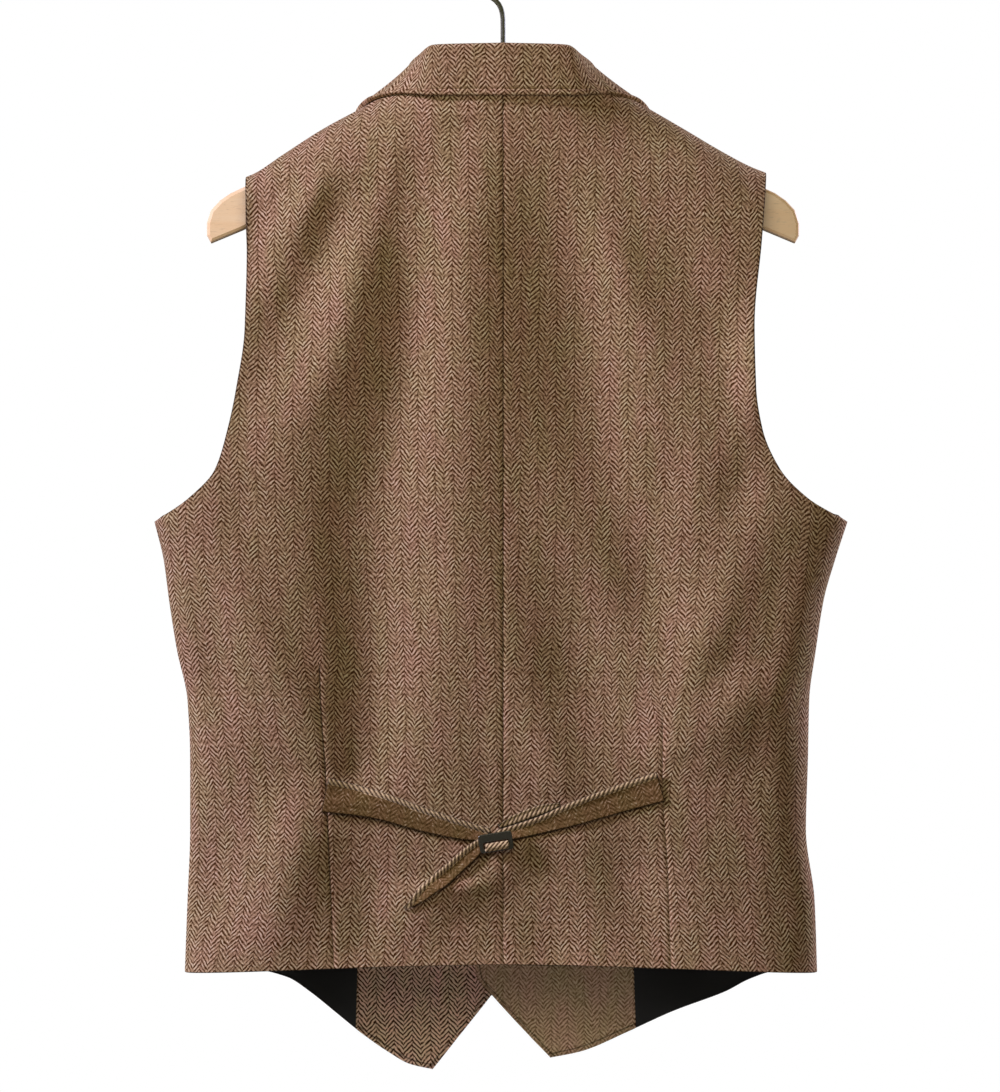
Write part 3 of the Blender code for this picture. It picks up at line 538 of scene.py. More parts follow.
def shell(name, outer, wall, turn, finishes, cut=None, lay=None, jump=None, rims=(), edge=0.9):
    """A closed thin piece from a grid of points in millimetres. jump is (column, shift along x):
    faces from that column out read their cut shifted, as beside a dart. rims are the edges that
    are rounded, with edge as their radius."""
    rows, columns = outer.shape[:2]
    normals = grid_normals(outer, turn)
    if rims:
        outer = round_rim(outer, normals, rims, edge)
    inner = outer - normals * wall
    points = np.concatenate((outer.reshape(-1, 3), inner.reshape(-1, 3))) * MM
    index = np.arange(rows * columns).reshape(rows, columns)
    face = np.stack((index[:-1, :-1], index[:-1, 1:], index[1:, 1:], index[1:, :-1]), axis=2)
    face = face.reshape(-1, 4)
    border = np.concatenate((index[0, :-1], index[:-1, -1], index[-1, :0:-1], index[:0:-1, 0]))
    after = np.roll(border, -1)
    far = rows * columns
    rim = np.stack((border, border + far, after + far, after), axis=1)
    front = face if turn > 0 else face[:, ::-1]
    back = (face + far)[:, ::-1] if turn > 0 else face + far
    rim = rim if turn > 0 else rim[:, ::-1]
    faces = np.concatenate((front, back, rim))
    data = bpy.data.meshes.new(name)
    data.from_pydata(points.tolist(), [], faces.tolist())
    if cut is None:
        cut = np.stack((arc(outer, 1), arc(outer, 0)), axis=2)
    if lay is None:
        lay = np.full((rows, columns), float(FAR_AWAY))
    for label, grid in (("cut", cut), ("lay", np.stack((lay, 0 * lay), axis=2))):
        flat = np.concatenate((grid.reshape(-1, 2), grid.reshape(-1, 2)))
        loops = flat[faces.reshape(-1)]
        if label == "cut" and jump is not None:
            column, shift = jump
            place = np.tile(np.arange(rows * columns) % columns, 2)[faces]
            outside = np.repeat(place.max(axis=1) > column, 4)
            moved = np.tile(shift.reshape(-1), 2)[faces.reshape(-1)]
            loops[:, 0] += np.where(outside, moved, 0)
        layer = data.uv_layers.new(name=label)
        layer.data.foreach_set("uv", (loops * MM).astype(np.float32).ravel())
    for finish in finishes:
        data.materials.append(finish)
    if len(finishes) > 1:
        kinds = np.concatenate((np.zeros(len(front)), np.ones(len(back)), np.zeros(len(rim))))
        data.polygons.foreach_set("material_index", kinds.astype(np.int32))
    data.shade_smooth()
    data.set_sharp_from_angle(angle=math.radians(50))
    data.update()
    piece = bpy.data.objects.new(name, data)
    bpy.context.collection.objects.link(piece)
    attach(piece, "root")
    return piece


def stand_for(piece, node, slot):
    """The piece is shown instead of that CAD node. slot is not used."""
    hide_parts(node)
    return piece


def area_of(piece):
    """Area of one face of a thin piece, in square metres."""
    return sum(polygon.area for polygon in piece.data.polygons) / 2


print("rims that can be rounded:", *ALL_RIMS)

# %% [markdown]
# ## Colours and nodes
# A colour given in the script is an sRGB hex value, and a shader wants linear light, so one function
# turns the one into the other. One more function adds a node with its settings and links, which
# keeps each material as short as the finish it describes.

# %% Helpers for materials
def hex_colour(code):
    parts = (int(code[i:i + 2], 16) / 255 for i in (1, 3, 5))
    return (*(c / 12.92 if c <= 0.04045 else ((c + 0.055) / 1.055) ** 2.4 for c in parts), 1)


def add_node(tree, kind, *values, out=0, **named):
    """Add a node and give one of its outputs. values fill its first sockets in turn. Of the named
    ones, those with a capital fill the socket of that name, and the others set the node up."""
    node = tree.nodes.new("ShaderNode" + kind)
    for key in [key for key in named if key[0].islower()]:
        setattr(node, key, named.pop(key))
    for key, value in (*enumerate(values), *named.items()):
        socket = node.inputs[key.replace("_", " ") if isinstance(key, str) else key]
        if isinstance(value, bpy.types.NodeSocket):
            tree.links.new(value, socket)
        else:
            socket.default_value = value
    return node if out is None else node.outputs[out]


BLEND = {"data_type": "RGBA", "out": "Result"}                    # a Mix node's settings for colours
TIMES = {**BLEND, "blend_type": "MULTIPLY", "Factor": 1.0}


def new_finish(name, **sockets):
    """A material with its shader's own sockets set, a function that adds a node to it, and one
    that links an output to a socket of its shader."""
    finish = bpy.data.materials.new(name)
    finish.use_nodes = True
    tree = finish.node_tree
    shader = tree.nodes["Principled BSDF"]
    for key, value in sockets.items():
        shader.inputs[key.replace("_", " ")].default_value = value
    return finish, partial(add_node, tree), lambda output, key: tree.links.new(output, shader.inputs[key])


print("mid grey in linear light is", round(hex_colour("#808080")[0], 3))

# %% [markdown]
# ## Herringbone tweed
# Tweed is woven from carded wool. In a herringbone the twill climbs for some yarns and then falls
# again, so the diagonals meet in upright rows of chevrons. The warp is tan and the weft is
# a darker brown. Here a ping-pong of the distance across the cloth gives the zigzag, and adding
# the distance along it gives the diagonals: 3.65 mm from line to line up the cloth, 3.4 mm
# across, and 6.9 mm to each turn. At a turn the weaver skips a thread, so the lines don't quite
# meet and a dark nick shows. Single yarns are 0.9 mm, so each has a shade of its own. Wool is
# matt, with a soft bloom at grazing angles from its loose fibres, which the sheen gives.

# %% Tweed
TURN_SKIP = 0.28    # share of a line by which the twill steps at each turn
NICK_WIDTH = 0.7    # millimetres of the dark nick at a turn
YARN = 0.9          # millimetres from one yarn to the next
WANDER = ((0.045, 1.0), (0.21, 0.6))   # a slow and a quick unrest of the yarns: pace and reach
TINTS = ((1.06, 0.975, 1.01, 1), (0.955, 1.012, 0.88, 1))   # heathery, then mossy


def tweed_finish(name, light, dark, line=(3.4, 3.65), turn_at=6.9, contrast=1.0):
    """line is the twill's pitch across and along the cloth, in millimetres."""
    finish, add, link = new_finish(name, Roughness=0.92, Sheen_Weight=0.08, Sheen_Roughness=0.45,
                                   Sheen_Tint=hex_colour("#d9b894"), Specular_IOR_Level=0.1)
    mm = add("VectorMath", add("UVMap", uv_map="cut"), (1000, 1000, 1000), operation="MULTIPLY")
    moved = mm
    for pace, reach in WANDER:
        drawn = add("TexNoise", Vector=mm, Scale=pace, Detail=1.0, normalize=False, out="Color")
        moved = add("VectorMath", drawn, (reach, reach, 0), moved, operation="MULTIPLY_ADD")
    across, along = (add("SeparateXYZ", moved, out=axis) for axis in (0, 1))
    # The zigzag, its lines and the step at each turn.
    zigzag = add("Math", across, turn_at, operation="PINGPONG")
    climbing = add("Math", zigzag, line[0], operation="DIVIDE")
    phase = add("Math", along, 1 / line[1], climbing, operation="MULTIPLY_ADD")
    stripe = add("Math", add("Math", across, turn_at, operation="DIVIDE"), operation="FLOOR")
    parity = add("Math", stripe, 1, operation="PINGPONG")
    phase = add("Math", parity, TURN_SKIP, phase, operation="MULTIPLY_ADD")
    wave = add("Math", add("Math", phase, math.tau, operation="MULTIPLY"), operation="SINE")
    worn = add("TexNoise", Vector=mm, Scale=0.13, Detail=2.0)
    wave = add("Math", wave, add("MapRange", worn, 0.35, 0.65, 0.5, 1.2), operation="MULTIPLY")
    # Every yarn has its shade, thick places run along the lines, and the dye is patchy.
    yarns = add("VectorMath", moved, (1 / YARN, 1 / YARN, 0), operation="MULTIPLY")
    shade = add("TexWhiteNoise", Vector=add("VectorMath", yarns, operation="FLOOR"), noise_dimensions="2D")
    strand = add("CombineXYZ", add("Math", phase, 3.4, operation="MULTIPLY"),
                 add("Math", along, 0.4, operation="MULTIPLY"))
    slubs = add("TexNoise", Vector=strand, Scale=1.0, Detail=2.0)
    patchy = add("TexNoise", Vector=mm, Scale=0.42, Detail=2.0)
    uneven = add("Math", shade, 0.3, add("Math", slubs, 1.8, operation="MULTIPLY"), operation="MULTIPLY_ADD")
    uneven = add("Math", patchy, 1.6, uneven, operation="MULTIPLY_ADD")
    twill = add("Math", uneven, 0.85, -1.06, operation="MULTIPLY_ADD")
    twill = add("Math", wave, 0.62 * contrast, twill, operation="MULTIPLY_ADD")
    nick = add("MapRange", zigzag, 0, NICK_WIDTH, -0.35 * contrast, 0)
    twill = add("Math", twill, nick, operation="ADD")
    # Colours: ground and line, the palest floats, clouds of tint, and painted shade along seams and edges.
    colour = add("Mix", Factor=add("MapRange", twill), A=hex_colour(dark), B=hex_colour(light), **BLEND)
    pale = add("MapRange", twill, 0.85, 1.35, 0, 0.85)
    colour = add("Mix", Factor=pale, A=colour, B=hex_colour("#c8b49f"), **BLEND)
    streak = add("VectorMath", mm, (0.055, 0.02, 0), operation="MULTIPLY")
    cloud = add("MapRange", add("TexNoise", Vector=streak, Scale=1.0, Detail=3.0), 0.35, 0.65)
    colour = add("Mix", A=colour, B=add("Mix", Factor=cloud, A=TINTS[0], B=TINTS[1], **BLEND), **TIMES)
    # Painted shade: within about a millimetre of a seam, sewn row or edge the weave darkens to three tenths,
    # with a ragged border, standing for the shade in the groove or on the turned edge.
    near = add("Math", add("SeparateXYZ", add("UVMap", uv_map="lay")), operation="ABSOLUTE")
    ragged = add("TexNoise", Vector=mm, Scale=0.3, Detail=1.0)
    edge = add("Math", near, 0.0004, operation="SUBTRACT")
    edge = add("Math", ragged, 0.0008, edge, operation="MULTIPLY_ADD")
    link(add("Mix", A=colour, B=add("MapRange", edge, 0.0001, 0.0009, 0.3, 1), **TIMES), "Base Color")
    # The nap lies over the twill.
    fuzz = add("TexNoise", Vector=mm, Scale=0.9, Detail=3.0)
    relief = add("Math", fuzz, 0.5, add("Math", twill, 0.8, operation="MULTIPLY"), operation="MULTIPLY_ADD")
    link(add("Bump", Height=relief, Distance=0.0003, Strength=0.5), "Normal")
    return finish


print("the twill climbs at", round(math.degrees(math.atan2(3.65, 3.4))), "degrees")

# %% [markdown]
# ## Lining
# The lining is black viscose satin. Its long floats lie flat and close, so it is smoother than
# wool and has a faint gloss that runs along the cloth.

# %% Satin lining
def satin_finish(name, colour):
    finish, add, link = new_finish(name, Roughness=0.5, Sheen_Weight=0.05, Specular_IOR_Level=0.3,
                                   Anisotropic=0.4)
    threads = add("VectorMath", add("UVMap", uv_map="cut"), (1800, 260, 0), operation="MULTIPLY")
    grain = add("TexNoise", Vector=threads, Scale=1.0, Detail=2.0)
    tone = add("MapRange", grain, 0, 1, 0.75, 1.3)
    link(add("Mix", A=hex_colour(colour), B=tone, **TIMES), "Base Color")
    link(add("Bump", Height=grain, Distance=0.0001, Strength=0.4), "Normal")
    return finish


tweed = tweed_finish("herringbone_tweed_brown", "#b39176", "#402205")
facing_tweeds = {
    "left": tweed_finish("herringbone_tweed_inside_bold", "#e6bfab", "#3c2418", contrast=1.35),
    "right": tweed_finish("herringbone_tweed_inside_fine", "#cbac92", "#715742", line=(3.2, 3.4),
                          turn_at=6.2, contrast=0.75),
}
lining = satin_finish("satin_lining_black", "#17161a")
print(len(bpy.data.materials), "materials so far")

# %% [markdown]
# ## The back
# Two halves are sewn along the centre back, and each has a waist dart: a wedge of cloth pinched
# and sewn away so that the cloth follows the waist. Beside a dart the grain changes its lean,
# which shows in the chevrons. Grid lines are led along the dart, so that the pattern can jump
# there as it does in the real one. A sewn line sinks in a little and puckers.

# %% Back panels
DART = {
    "level": (-790, -700, -621, -560, -430, -300, -120),
    "left": (126, 130, 133.5, 137.5, 140, 134, 120),
    "right": (127, 124.5, 120, 120.5, 124, 124, 114),
}
DART_TOP = {"left": -526, "right": -556}
# Cloth taken out between the centre and the side, in millimetres: it leans the grain outside.
INTAKE = {
    "level": (-780, -700, -640, -600, -560, -520, -440, -100),
    "dart": (10, 15, 19, 14, 8, 4, 1, 0),
    "centre": (5, 8, 9, 8, 7, 5.5, 3, 0),
}
CHEVRON_SHIFT = 1.6   # where the centre seam cuts the chevrons
SEAM_DIP, SEAM_DIP_WIDTH = 0.7, 1.3
FAINT = {"left": 0, "right": 0.4, "centre": 0.1}   # how much fainter the painted shade along each seam is, as it is pressed flatter
HEM_FADE, FADE_FROM = 0.4, -690   # towards the hem the painted shade of the seams fades further, as they are pressed flatter still
EDGE_SHADE = 0.5   # painted shade of the armhole's turned edge is at its darkest for this far in


def seam_dip(distance, width, depth):
    return depth * np.exp(-(distance / width) ** 2)


def seam_pucker(distance, level, reach, turn):
    """Small unrest beside a sewn line, where the thread draws the cloth together."""
    beat = np.sin(level / 5.3 + turn) + np.sin(level / 3.1 + 2 * turn)
    return 0.2 * beat * np.exp(-distance / reach)


def shares(count, start=0.0, end=0.0):
    """Even shares from 0 to 1, crowded at either end by cutting its first steps finer."""
    even = np.linspace(0, 1, count)
    extra = [even[1] * part for part in (0.08, 0.2, 0.38, 0.65)]
    low = extra if start else []
    high = [1 - step for step in extra] if end else []
    return np.unique(np.concatenate((even, low, high)))


def back_rows(count):
    below = shares(round(count * CORNER_AT), start=1) * CORNER_AT
    above = CORNER_AT + shares(round(count * (1 - CORNER_AT)), end=1) * (1 - CORNER_AT)
    return np.unique(np.concatenate((below, above)))

print(len(back_rows(250)), "rows up a back")

# %% [markdown]
# A half back is laid out twice. A trial finds where the dart runs in the grid at every level, and
# the real grid then has a line along it.

# %% Both halves of the back
def make_back(side):
    sign = SIGN[side]
    rows = back_rows(250)
    inside = shares(60, start=1, end=1)
    outside = shares(58, start=1, end=1)
    trial = np.linspace(0, 1, 160)
    x, level = back_spot(side, *np.meshgrid(spread(trial, ROUND_SIDES), crowd_rows(rows)))
    gap = x * sign - read(DART, side, level)
    at_dart = np.array([np.interp(0, line, trial) for line in gap])[:, None]
    u = np.concatenate((inside * at_dart, at_dart + outside[1:] * (1 - at_dart)), axis=1)
    v = np.repeat(rows[:, None], u.shape[1], axis=1)
    x, level = back_spot(side, spread(u, ROUND_SIDES), crowd_rows(v))
    y = cloth_y("back", x, level)
    dart_column = len(inside) - 1
    to_centre = np.abs(x)
    to_dart = np.abs(np.abs(x) - read(DART, side, level))
    sewn = ease((DART_TOP[side] - level) / 30)
    turn = 0.4 if side == "left" else 1.9
    y = y - seam_dip(to_centre, SEAM_DIP_WIDTH, SEAM_DIP)
    y = y - seam_dip(to_dart, SEAM_DIP_WIDTH, SEAM_DIP) * sewn
    y = y + seam_pucker(to_centre, level, 9, turn) + seam_pucker(to_dart, level, 8, turn + 1) * sewn
    outer = np.stack((x, y, level), axis=2)
    across, along = flat_place("back", side, x, level)
    centre, intake = read(INTAKE, "centre", level), read(INTAKE, "dart", level)
    lean = intake * ease((np.abs(x) - 60) / 80) * (1 - sewn)
    cut = np.stack(((across + centre + lean) * sign + CHEVRON_SHIFT, along), axis=2)
    shift = intake * sewn * sign
    # Painted shade: the weave darkens along the centre seam, the sewn dart, the armhole's turned edge and
    # the hem, standing for the shade in their grooves and turns.
    dart_shade_distance = np.where(sewn > 0.2, to_dart + FAINT[side], FAR_AWAY)
    faded = HEM_FADE * ease((FADE_FROM - level) / 60)
    near = np.minimum(to_centre + FAINT["centre"], dart_shade_distance) + faded
    walk_u, walk_v = arc(outer, 1), arc(outer, 0)
    to_armhole = np.maximum(walk_u[:, -1:] - walk_u - EDGE_SHADE, 0)
    near = np.minimum(near, np.minimum(np.where(level > CORNER, to_armhole, FAR_AWAY), walk_v))
    piece = shell(f"back_{side}_cloth", outer, BACK_WALL, -sign, (tweed, lining), cut, near,
                  (dart_column, shift), ("low", "end"))
    return stand_for(piece, "back_" + side, "tweed")


backs = {side: make_back(side) for side in SIGN}
for side, piece in backs.items():
    print(piece.name, len(piece.data.polygons), "faces,", round(area_of(piece), 4), "m2")

# %% [markdown]
# ## The fronts
# Each front is cut away below the last button to a point, and its edge turns back above the
# first button as a lapel. Inside, a tweed facing follows the edge and a black lining fills the
# rest. Both lie just under the front's cloth.

# %% Fronts, facings and linings
EDGE_ROW = 3.4   # the facing is caught down by a row of stitches this far from its edge and hem; painted shade darkens the weave along it


def front_points(side, u, v):
    x, level = front_spot(side, u, crowd_rows(v))
    return np.stack((x, cloth_y("front", x, level) - overlap(side, x), level), axis=2)


def front_layer(name, side, span, depth, thickness, finishes, counts, rims):
    """A layer of a front over a span of its width, this depth in from the front's outer face."""
    start, end = span
    rows = back_rows(counts[1])
    across = mix(start, end, shares(counts[0], start=1, end=1))
    if start:
        across = across + SEAM / 130 * (1 - (across - start) / (end - start))
    u, v = np.meshgrid(across, rows)
    face = front_points(side, np.clip(u, 0, 1), v)
    outer = face - grid_normals(face, SIGN[side]) * depth
    across, along = flat_place("front", side, outer[..., 0], outer[..., 2])
    cut = np.stack((across * np.sign(outer[..., 0]), along), axis=2)
    lay = None
    # Painted shade along the facing's row of stitches: lay is nought on the row.
    if name == "facing":
        in_edge, in_hem = arc(outer, 1) - EDGE_ROW, arc(outer, 0) - EDGE_ROW
        lay = np.where(np.abs(in_edge) < np.abs(in_hem), in_edge, in_hem)
    return shell(f"{name}_{side}_cloth", outer, thickness, SIGN[side], finishes, cut, lay, rims=rims)


fronts = {}
under = FRONT_WALL + SEAM
for side in SIGN:
    fronts[side] = front_layer("front", side, (0, 1), 0, FRONT_WALL, (tweed,), (96, 200),
                               ("start", "low", "end"))
    inside = front_layer("facing", side, (0, FACING_AT), under, FACING_WALL,
                         (facing_tweeds[side],), (40, 130), ("start", "low"))
    cloth = front_layer("lining", side, (FACING_AT, 1), under, FACING_WALL, (lining,), (50, 130), ())
    for piece, slot in ((fronts[side], "tweed"), (inside, "facing_tweed"), (cloth, "lining")):
        stand_for(piece, piece.name.removesuffix("_cloth"), slot)
        print(piece.name, round(area_of(piece), 4), "m2")

# %% [markdown]
# ## Collar
# The collar is one folded piece: a stand rises from the neck seam, turns over at the roll, and
# the fall comes down over the seam. Its free edge is sewn round about 5 mm in, and the cloth
# swells between that line and the edge.

# %% Collar
COLLAR = {
    "at": (0, 0.22, 0.36, 0.46, 0.58, 0.75, 1),
    "neck_reach": (0, 45, 69, 80.5, 75.6, 68.3, 58.4),
    "neck_level": (-105.5, -103.5, -101.5, -100, -112.6, -134.6, -164.6),
    "roll_left": (0, 51.5, 62, 69.5, 71, 66, 56.5),
    "roll_right": (0, 47.5, 58, 67.5, 71, 66, 56.5),
    "roll_y": (34, 29.5, 19, 2, -25, -37.5, -43),
    "roll_level": (-70.5, -71.5, -77.5, -85.5, -107, -130, -161),
    "edge_reach": (0, 52, 81, 104, 113, 111, 98),
    "edge_y": (35.8, 31.5, 17.6, 0.6, -16.5, -34, -40),
    "edge_level": (-109.5, -109, -106.5, -110.6, -122, -144, -166),
    "facing": (90, 75, 40, 0, -35, -65, -85),
}
COLLAR_WALL, COLLAR_ROLL = 1.8, 2.4
STAND_PART, ROLL_PART = 0.34, 0.22
NECK_SET_IN = 0.94
TOPSTITCH_AT, TOPSTITCH_DIP, TOPSTITCH_SWELL = 4.8, 0.9, 1.0


def beside_topstitch(to_edge):
    """Distance from the row, as its painted shade reads it: a little off, so the painted dark line along the
    sewn row is faint.
    """
    return np.abs(to_edge - TOPSTITCH_AT) * 1.2 + 0.5


def collar_points(along, across):
    """along runs -1 to 1 from the right end to the left, across from the neck seam to the edge."""
    at = np.abs(along)
    sign = np.where(along >= 0, 1, -1)
    row = {column: read(COLLAR, column, at) for column in COLLAR}
    spot = row["neck_reach"] * sign, row["neck_level"]
    behind = row["facing"] > 0
    neck_y = np.where(behind, cloth_y("back", *spot), cloth_y("front", *spot)) * NECK_SET_IN
    roll_reach = np.where(along >= 0, row["roll_left"], row["roll_right"])
    neck = np.stack((row["neck_reach"], neck_y, row["neck_level"]), axis=-1)
    roll = np.stack((roll_reach, row["roll_y"], row["roll_level"]), axis=-1)
    edge = np.stack((row["edge_reach"], row["edge_y"], row["edge_level"]), axis=-1)
    turn = np.radians(row["facing"])
    out = np.stack((np.cos(turn), np.sin(turn), 0 * turn), axis=-1)
    rise = roll - edge
    rise = rise - out * (rise * out).sum(axis=-1, keepdims=True)
    rise = rise / np.linalg.norm(rise, axis=-1, keepdims=True)
    radius = COLLAR_ROLL + COLLAR_WALL / 2
    base = roll - rise * COLLAR_ROLL
    t = across[..., None]
    stand = mix(neck - out * COLLAR_WALL / 2, base - out * radius, np.clip(t / STAND_PART, 0, 1))
    angle = math.pi * np.clip((t - STAND_PART) / ROLL_PART, 0, 1)
    rolled = base - out * radius * np.cos(angle) + rise * radius * np.sin(angle)
    share = np.clip((t - STAND_PART - ROLL_PART) / (1 - STAND_PART - ROLL_PART), 0, 1)
    fall = mix(base + out * radius, edge + out * COLLAR_WALL / 2, share)
    points = np.where(t < STAND_PART, stand, np.where(t < STAND_PART + ROLL_PART, rolled, fall))
    points[..., 0] *= sign
    return points

print("the collar rolls over", COLLAR_ROLL, "mm, of cloth", COLLAR_WALL, "mm thick")

# %% [markdown]
# Rows run round the neck, and columns from the neck seam over the roll to the free edge.

# %% The dressed collar
def make_collar():
    stand = np.linspace(0, STAND_PART, 12)[:-1]
    roll = np.linspace(STAND_PART, STAND_PART + ROLL_PART, 11)[:-1]
    fall = mix(STAND_PART + ROLL_PART, 1, shares(30, end=1))
    across = np.concatenate((stand, roll, fall))
    along = shares(241, start=1, end=1) * 2 - 1
    grid_along, grid_across = np.meshgrid(along, across)
    points = collar_points(grid_along, grid_across)
    normals = grid_normals(points, 1)
    to_edge = arc(points, 0)[-1:, :] - arc(points, 0)
    length = arc(points, 1)[-1, :]
    swell = TOPSTITCH_SWELL * ease(to_edge / 1.2) * ease((TOPSTITCH_AT - to_edge) / 1.6)
    dip = seam_dip(to_edge - TOPSTITCH_AT, 0.9, TOPSTITCH_DIP)
    beat = 0.12 * np.sin(length / 1.1)[None, :] * np.exp(-np.abs(to_edge - TOPSTITCH_AT) / 1.5)
    outer = points + normals * (swell - dip + beat)[..., None]
    middle = length[len(along) // 2]
    cut = np.stack((np.repeat((length - middle)[None, :], len(across), axis=0) + CHEVRON_SHIFT,
                    to_edge + 3), axis=2)
    # The weave carries painted shade along the topstitch row.
    return shell("collar_cloth", outer, COLLAR_WALL, 1, (tweed,), cut, beside_topstitch(to_edge),
                 rims=("high", "start", "end"))


collar = stand_for(make_collar(), "collar", "tweed")
print("collar", round(area_of(collar), 4), "m2")

# %% [markdown]
# ## Lapels
# Each lapel is the front's own edge, turned back at the roll line so that its inside shows. It
# lies on the front, and the right one runs in under the left front.

# %% Lapels
LAPEL_TOP, LAPEL_BREAK, LAPEL_TUCK = -167.5, -392, -348
LAPEL_CLEAR, LAPEL_WIDTH, LAPEL_WALL, LAPEL_FALL = 4, 56, 2.2, 0.33
ROLL_GAP, NARROW_END, LAPEL_BELLY = 0.4, 0.08, 0.9


def make_lapel(side):
    bottom = LAPEL_BREAK if side == "left" else LAPEL_TUCK
    u, v = np.meshgrid(shares(26, start=1, end=1), shares(110, start=1, end=1))
    level = mix(bottom, LAPEL_TOP, v)
    roll = read(FRONT_EDGE[side], "reach", level) + ROLL_GAP
    share = mix(NARROW_END, 1, (level - LAPEL_BREAK) / (LAPEL_TOP - LAPEL_BREAK))
    end = roll + LAPEL_WIDTH * np.sin(share * math.pi / 2) ** LAPEL_BELLY
    start = roll
    if side == "right":     # it begins past the left front's edge, which covers it
        start = np.maximum(roll, LAPEL_CLEAR - read(FRONT_EDGE["left"], "reach", level))
    reach = mix(start, end, u)
    x, level = reach * SIGN[side], level - (reach - roll) * LAPEL_FALL
    y = cloth_y("front", x, level) - overlap(side, x) - LAY - LAPEL_WALL
    outer = np.stack((x, y, level), axis=2)
    to_edge = arc(outer, 1)[:, -1:] - arc(outer, 1)
    outer[..., 1] += seam_dip(to_edge - TOPSTITCH_AT, 0.9, 0.4)
    cut = np.stack((arc(outer, 1) * SIGN[side], arc(outer, 0)), axis=2)
    # The weave carries painted shade along the topstitch row.
    piece = shell(f"lapel_{side}_cloth", outer, LAPEL_WALL, SIGN[side], (tweed,), cut,
                  beside_topstitch(to_edge), rims=ALL_RIMS)
    return stand_for(piece, "lapel_" + side, "tweed")


lapels = {side: make_lapel(side) for side in SIGN}
print("lapels", [round(area_of(piece), 4) for piece in lapels.values()], "m2")

# %% [markdown]
# ## The cinch
# A strap is sewn into each dart. Each is a tube of cloth turned and pressed, whose upper edge is
# rolled like a cord. The right strap goes through a metal slide, turns back and hangs down as
# a pointed tail. Its twill crosses the cord as light diagonals, like the lay of a rope.

# %% Straps
BANDS = {
    "strap_left": {
        "x": (133.5, 96, 59, 31, 10), "level": (-634, -641.5, -653, -660.5, -664.5),
        "width": (26, 21, 18, 14.5, 10), "lift": (2.1, 2.4, 1.8, 1.6, 1.4),
    },
    "strap_right": {
        "x": (-118.5, -90, -53, -28, 5), "level": (-628, -636.5, -648.5, -656.8, -665.5),
        "width": (23, 21, 18, 13, 9), "lift": (0.7, 1.2, 1.6, 1.6, 1.4),
    },
    "strap_turn": {
        "x": (-43, -26, -8, 3), "level": (-641.6, -646.3, -653.1, -658.2),
        "width": (3.6, 8, 7, 3), "lift": (1.5, 1.8, 2.2, 2.6),
    },
    "strap_tail": {
        "x": (16, 26, 41, 58.5, 73.5), "level": (-670.5, -679, -692.5, -706.5, -720),
        "width": (9, 12, 12.5, 11, 2.5), "lift": (3.4, 3.3, 2.8, 2, 1.2),
    },
}
BAND_WALL, BAND_CORD = 1.7, 1.1
CORD_FROM, CORD_OVER = 0.6, 0.3
CORD_WIDTH, CORD_ROLL, CORD_SUNK, GROOVE = 4.6, 1.1, 0.4, 0.5


def rope_tweed(name, light, dark, pitch, lean):
    """Tweed on a rolled edge: one diagonal shows, with each float standing up like a strand."""
    finish, add, link = new_finish(name, Roughness=0.9, Sheen_Weight=0.2, Specular_IOR_Level=0.18)
    mm = add("VectorMath", add("UVMap", uv_map="cut"), (1000, 1000, 1000), operation="MULTIPLY")
    along, up = (add("SeparateXYZ", mm, out=axis) for axis in (0, 1))
    phase = add("Math", along, pitch, operation="DIVIDE")
    phase = add("Math", up, lean / pitch, phase, operation="MULTIPLY_ADD")
    wave = add("Math", add("Math", phase, math.tau, operation="MULTIPLY"), operation="SINE")
    fuzz = add("Math", add("TexNoise", Vector=mm, Scale=0.6, Detail=3.0), 1.3, -0.2,
               operation="MULTIPLY_ADD")
    twill = add("Math", wave, 0.45, fuzz, operation="MULTIPLY_ADD")
    colour = add("Mix", Factor=twill, A=hex_colour(dark), B=hex_colour(light), **BLEND)
    # Painted shade: the cord darkens to a fifth at the strap's edges, where the rolled cloth turns away.
    near = add("SeparateXYZ", add("UVMap", uv_map="lay"))
    link(add("Mix", A=colour, B=add("MapRange", near, 0.0001, 0.001, 0.2, 1), **TIMES), "Base Color")
    link(add("Bump", Height=twill, Distance=0.0005, Strength=0.7), "Normal")
    return finish


cord_tweed = rope_tweed("tweed_rolled_edge", "#dcbd97", "#4a2f18", 3.7, 0.9)
# The strap is the back's cloth with a plain, low-contrast face. Its colour is darker than the back's, partly
# painted shade of a face that turns down from the light.
strap_tweed = tweed_finish("herringbone_tweed_strap", "#846747", "#46300f", contrast=0.5)

print(cord_tweed.name, "and", strap_tweed.name)

# %% [markdown]
# A strap is a band along its route, lifted off the back, and its grid is fine enough for the cord.

# %% The four straps
def band_points(band, u, v):
    """A strap's face: u along it, v across from its lower edge to its corded upper edge."""
    count = len(band["x"]) - 1
    keys = {"at": tuple(index / count for index in range(count + 1)), **band}
    x, level, width, lift = (read(keys, column, u) for column in ("x", "level", "width", "lift"))
    ahead = np.minimum(1, u + 0.01)
    run_x = read(keys, "x", ahead) - read(keys, "x", ahead - 0.01)
    run_z = read(keys, "level", ahead) - read(keys, "level", ahead - 0.01)
    size = np.hypot(run_x, run_z)
    side = np.where(run_x > 0, 1, -1)
    up_x, up_z = -run_z / size * side, run_x / size * side
    x, level = x + up_x * width * (v - 0.5), level + up_z * width * (v - 0.5)
    cord = BAND_CORD * ease((v - CORD_FROM) / CORD_OVER)
    return np.stack((x, cloth_y("back", x, level) + lift + BAND_WALL + cord, level), axis=2)


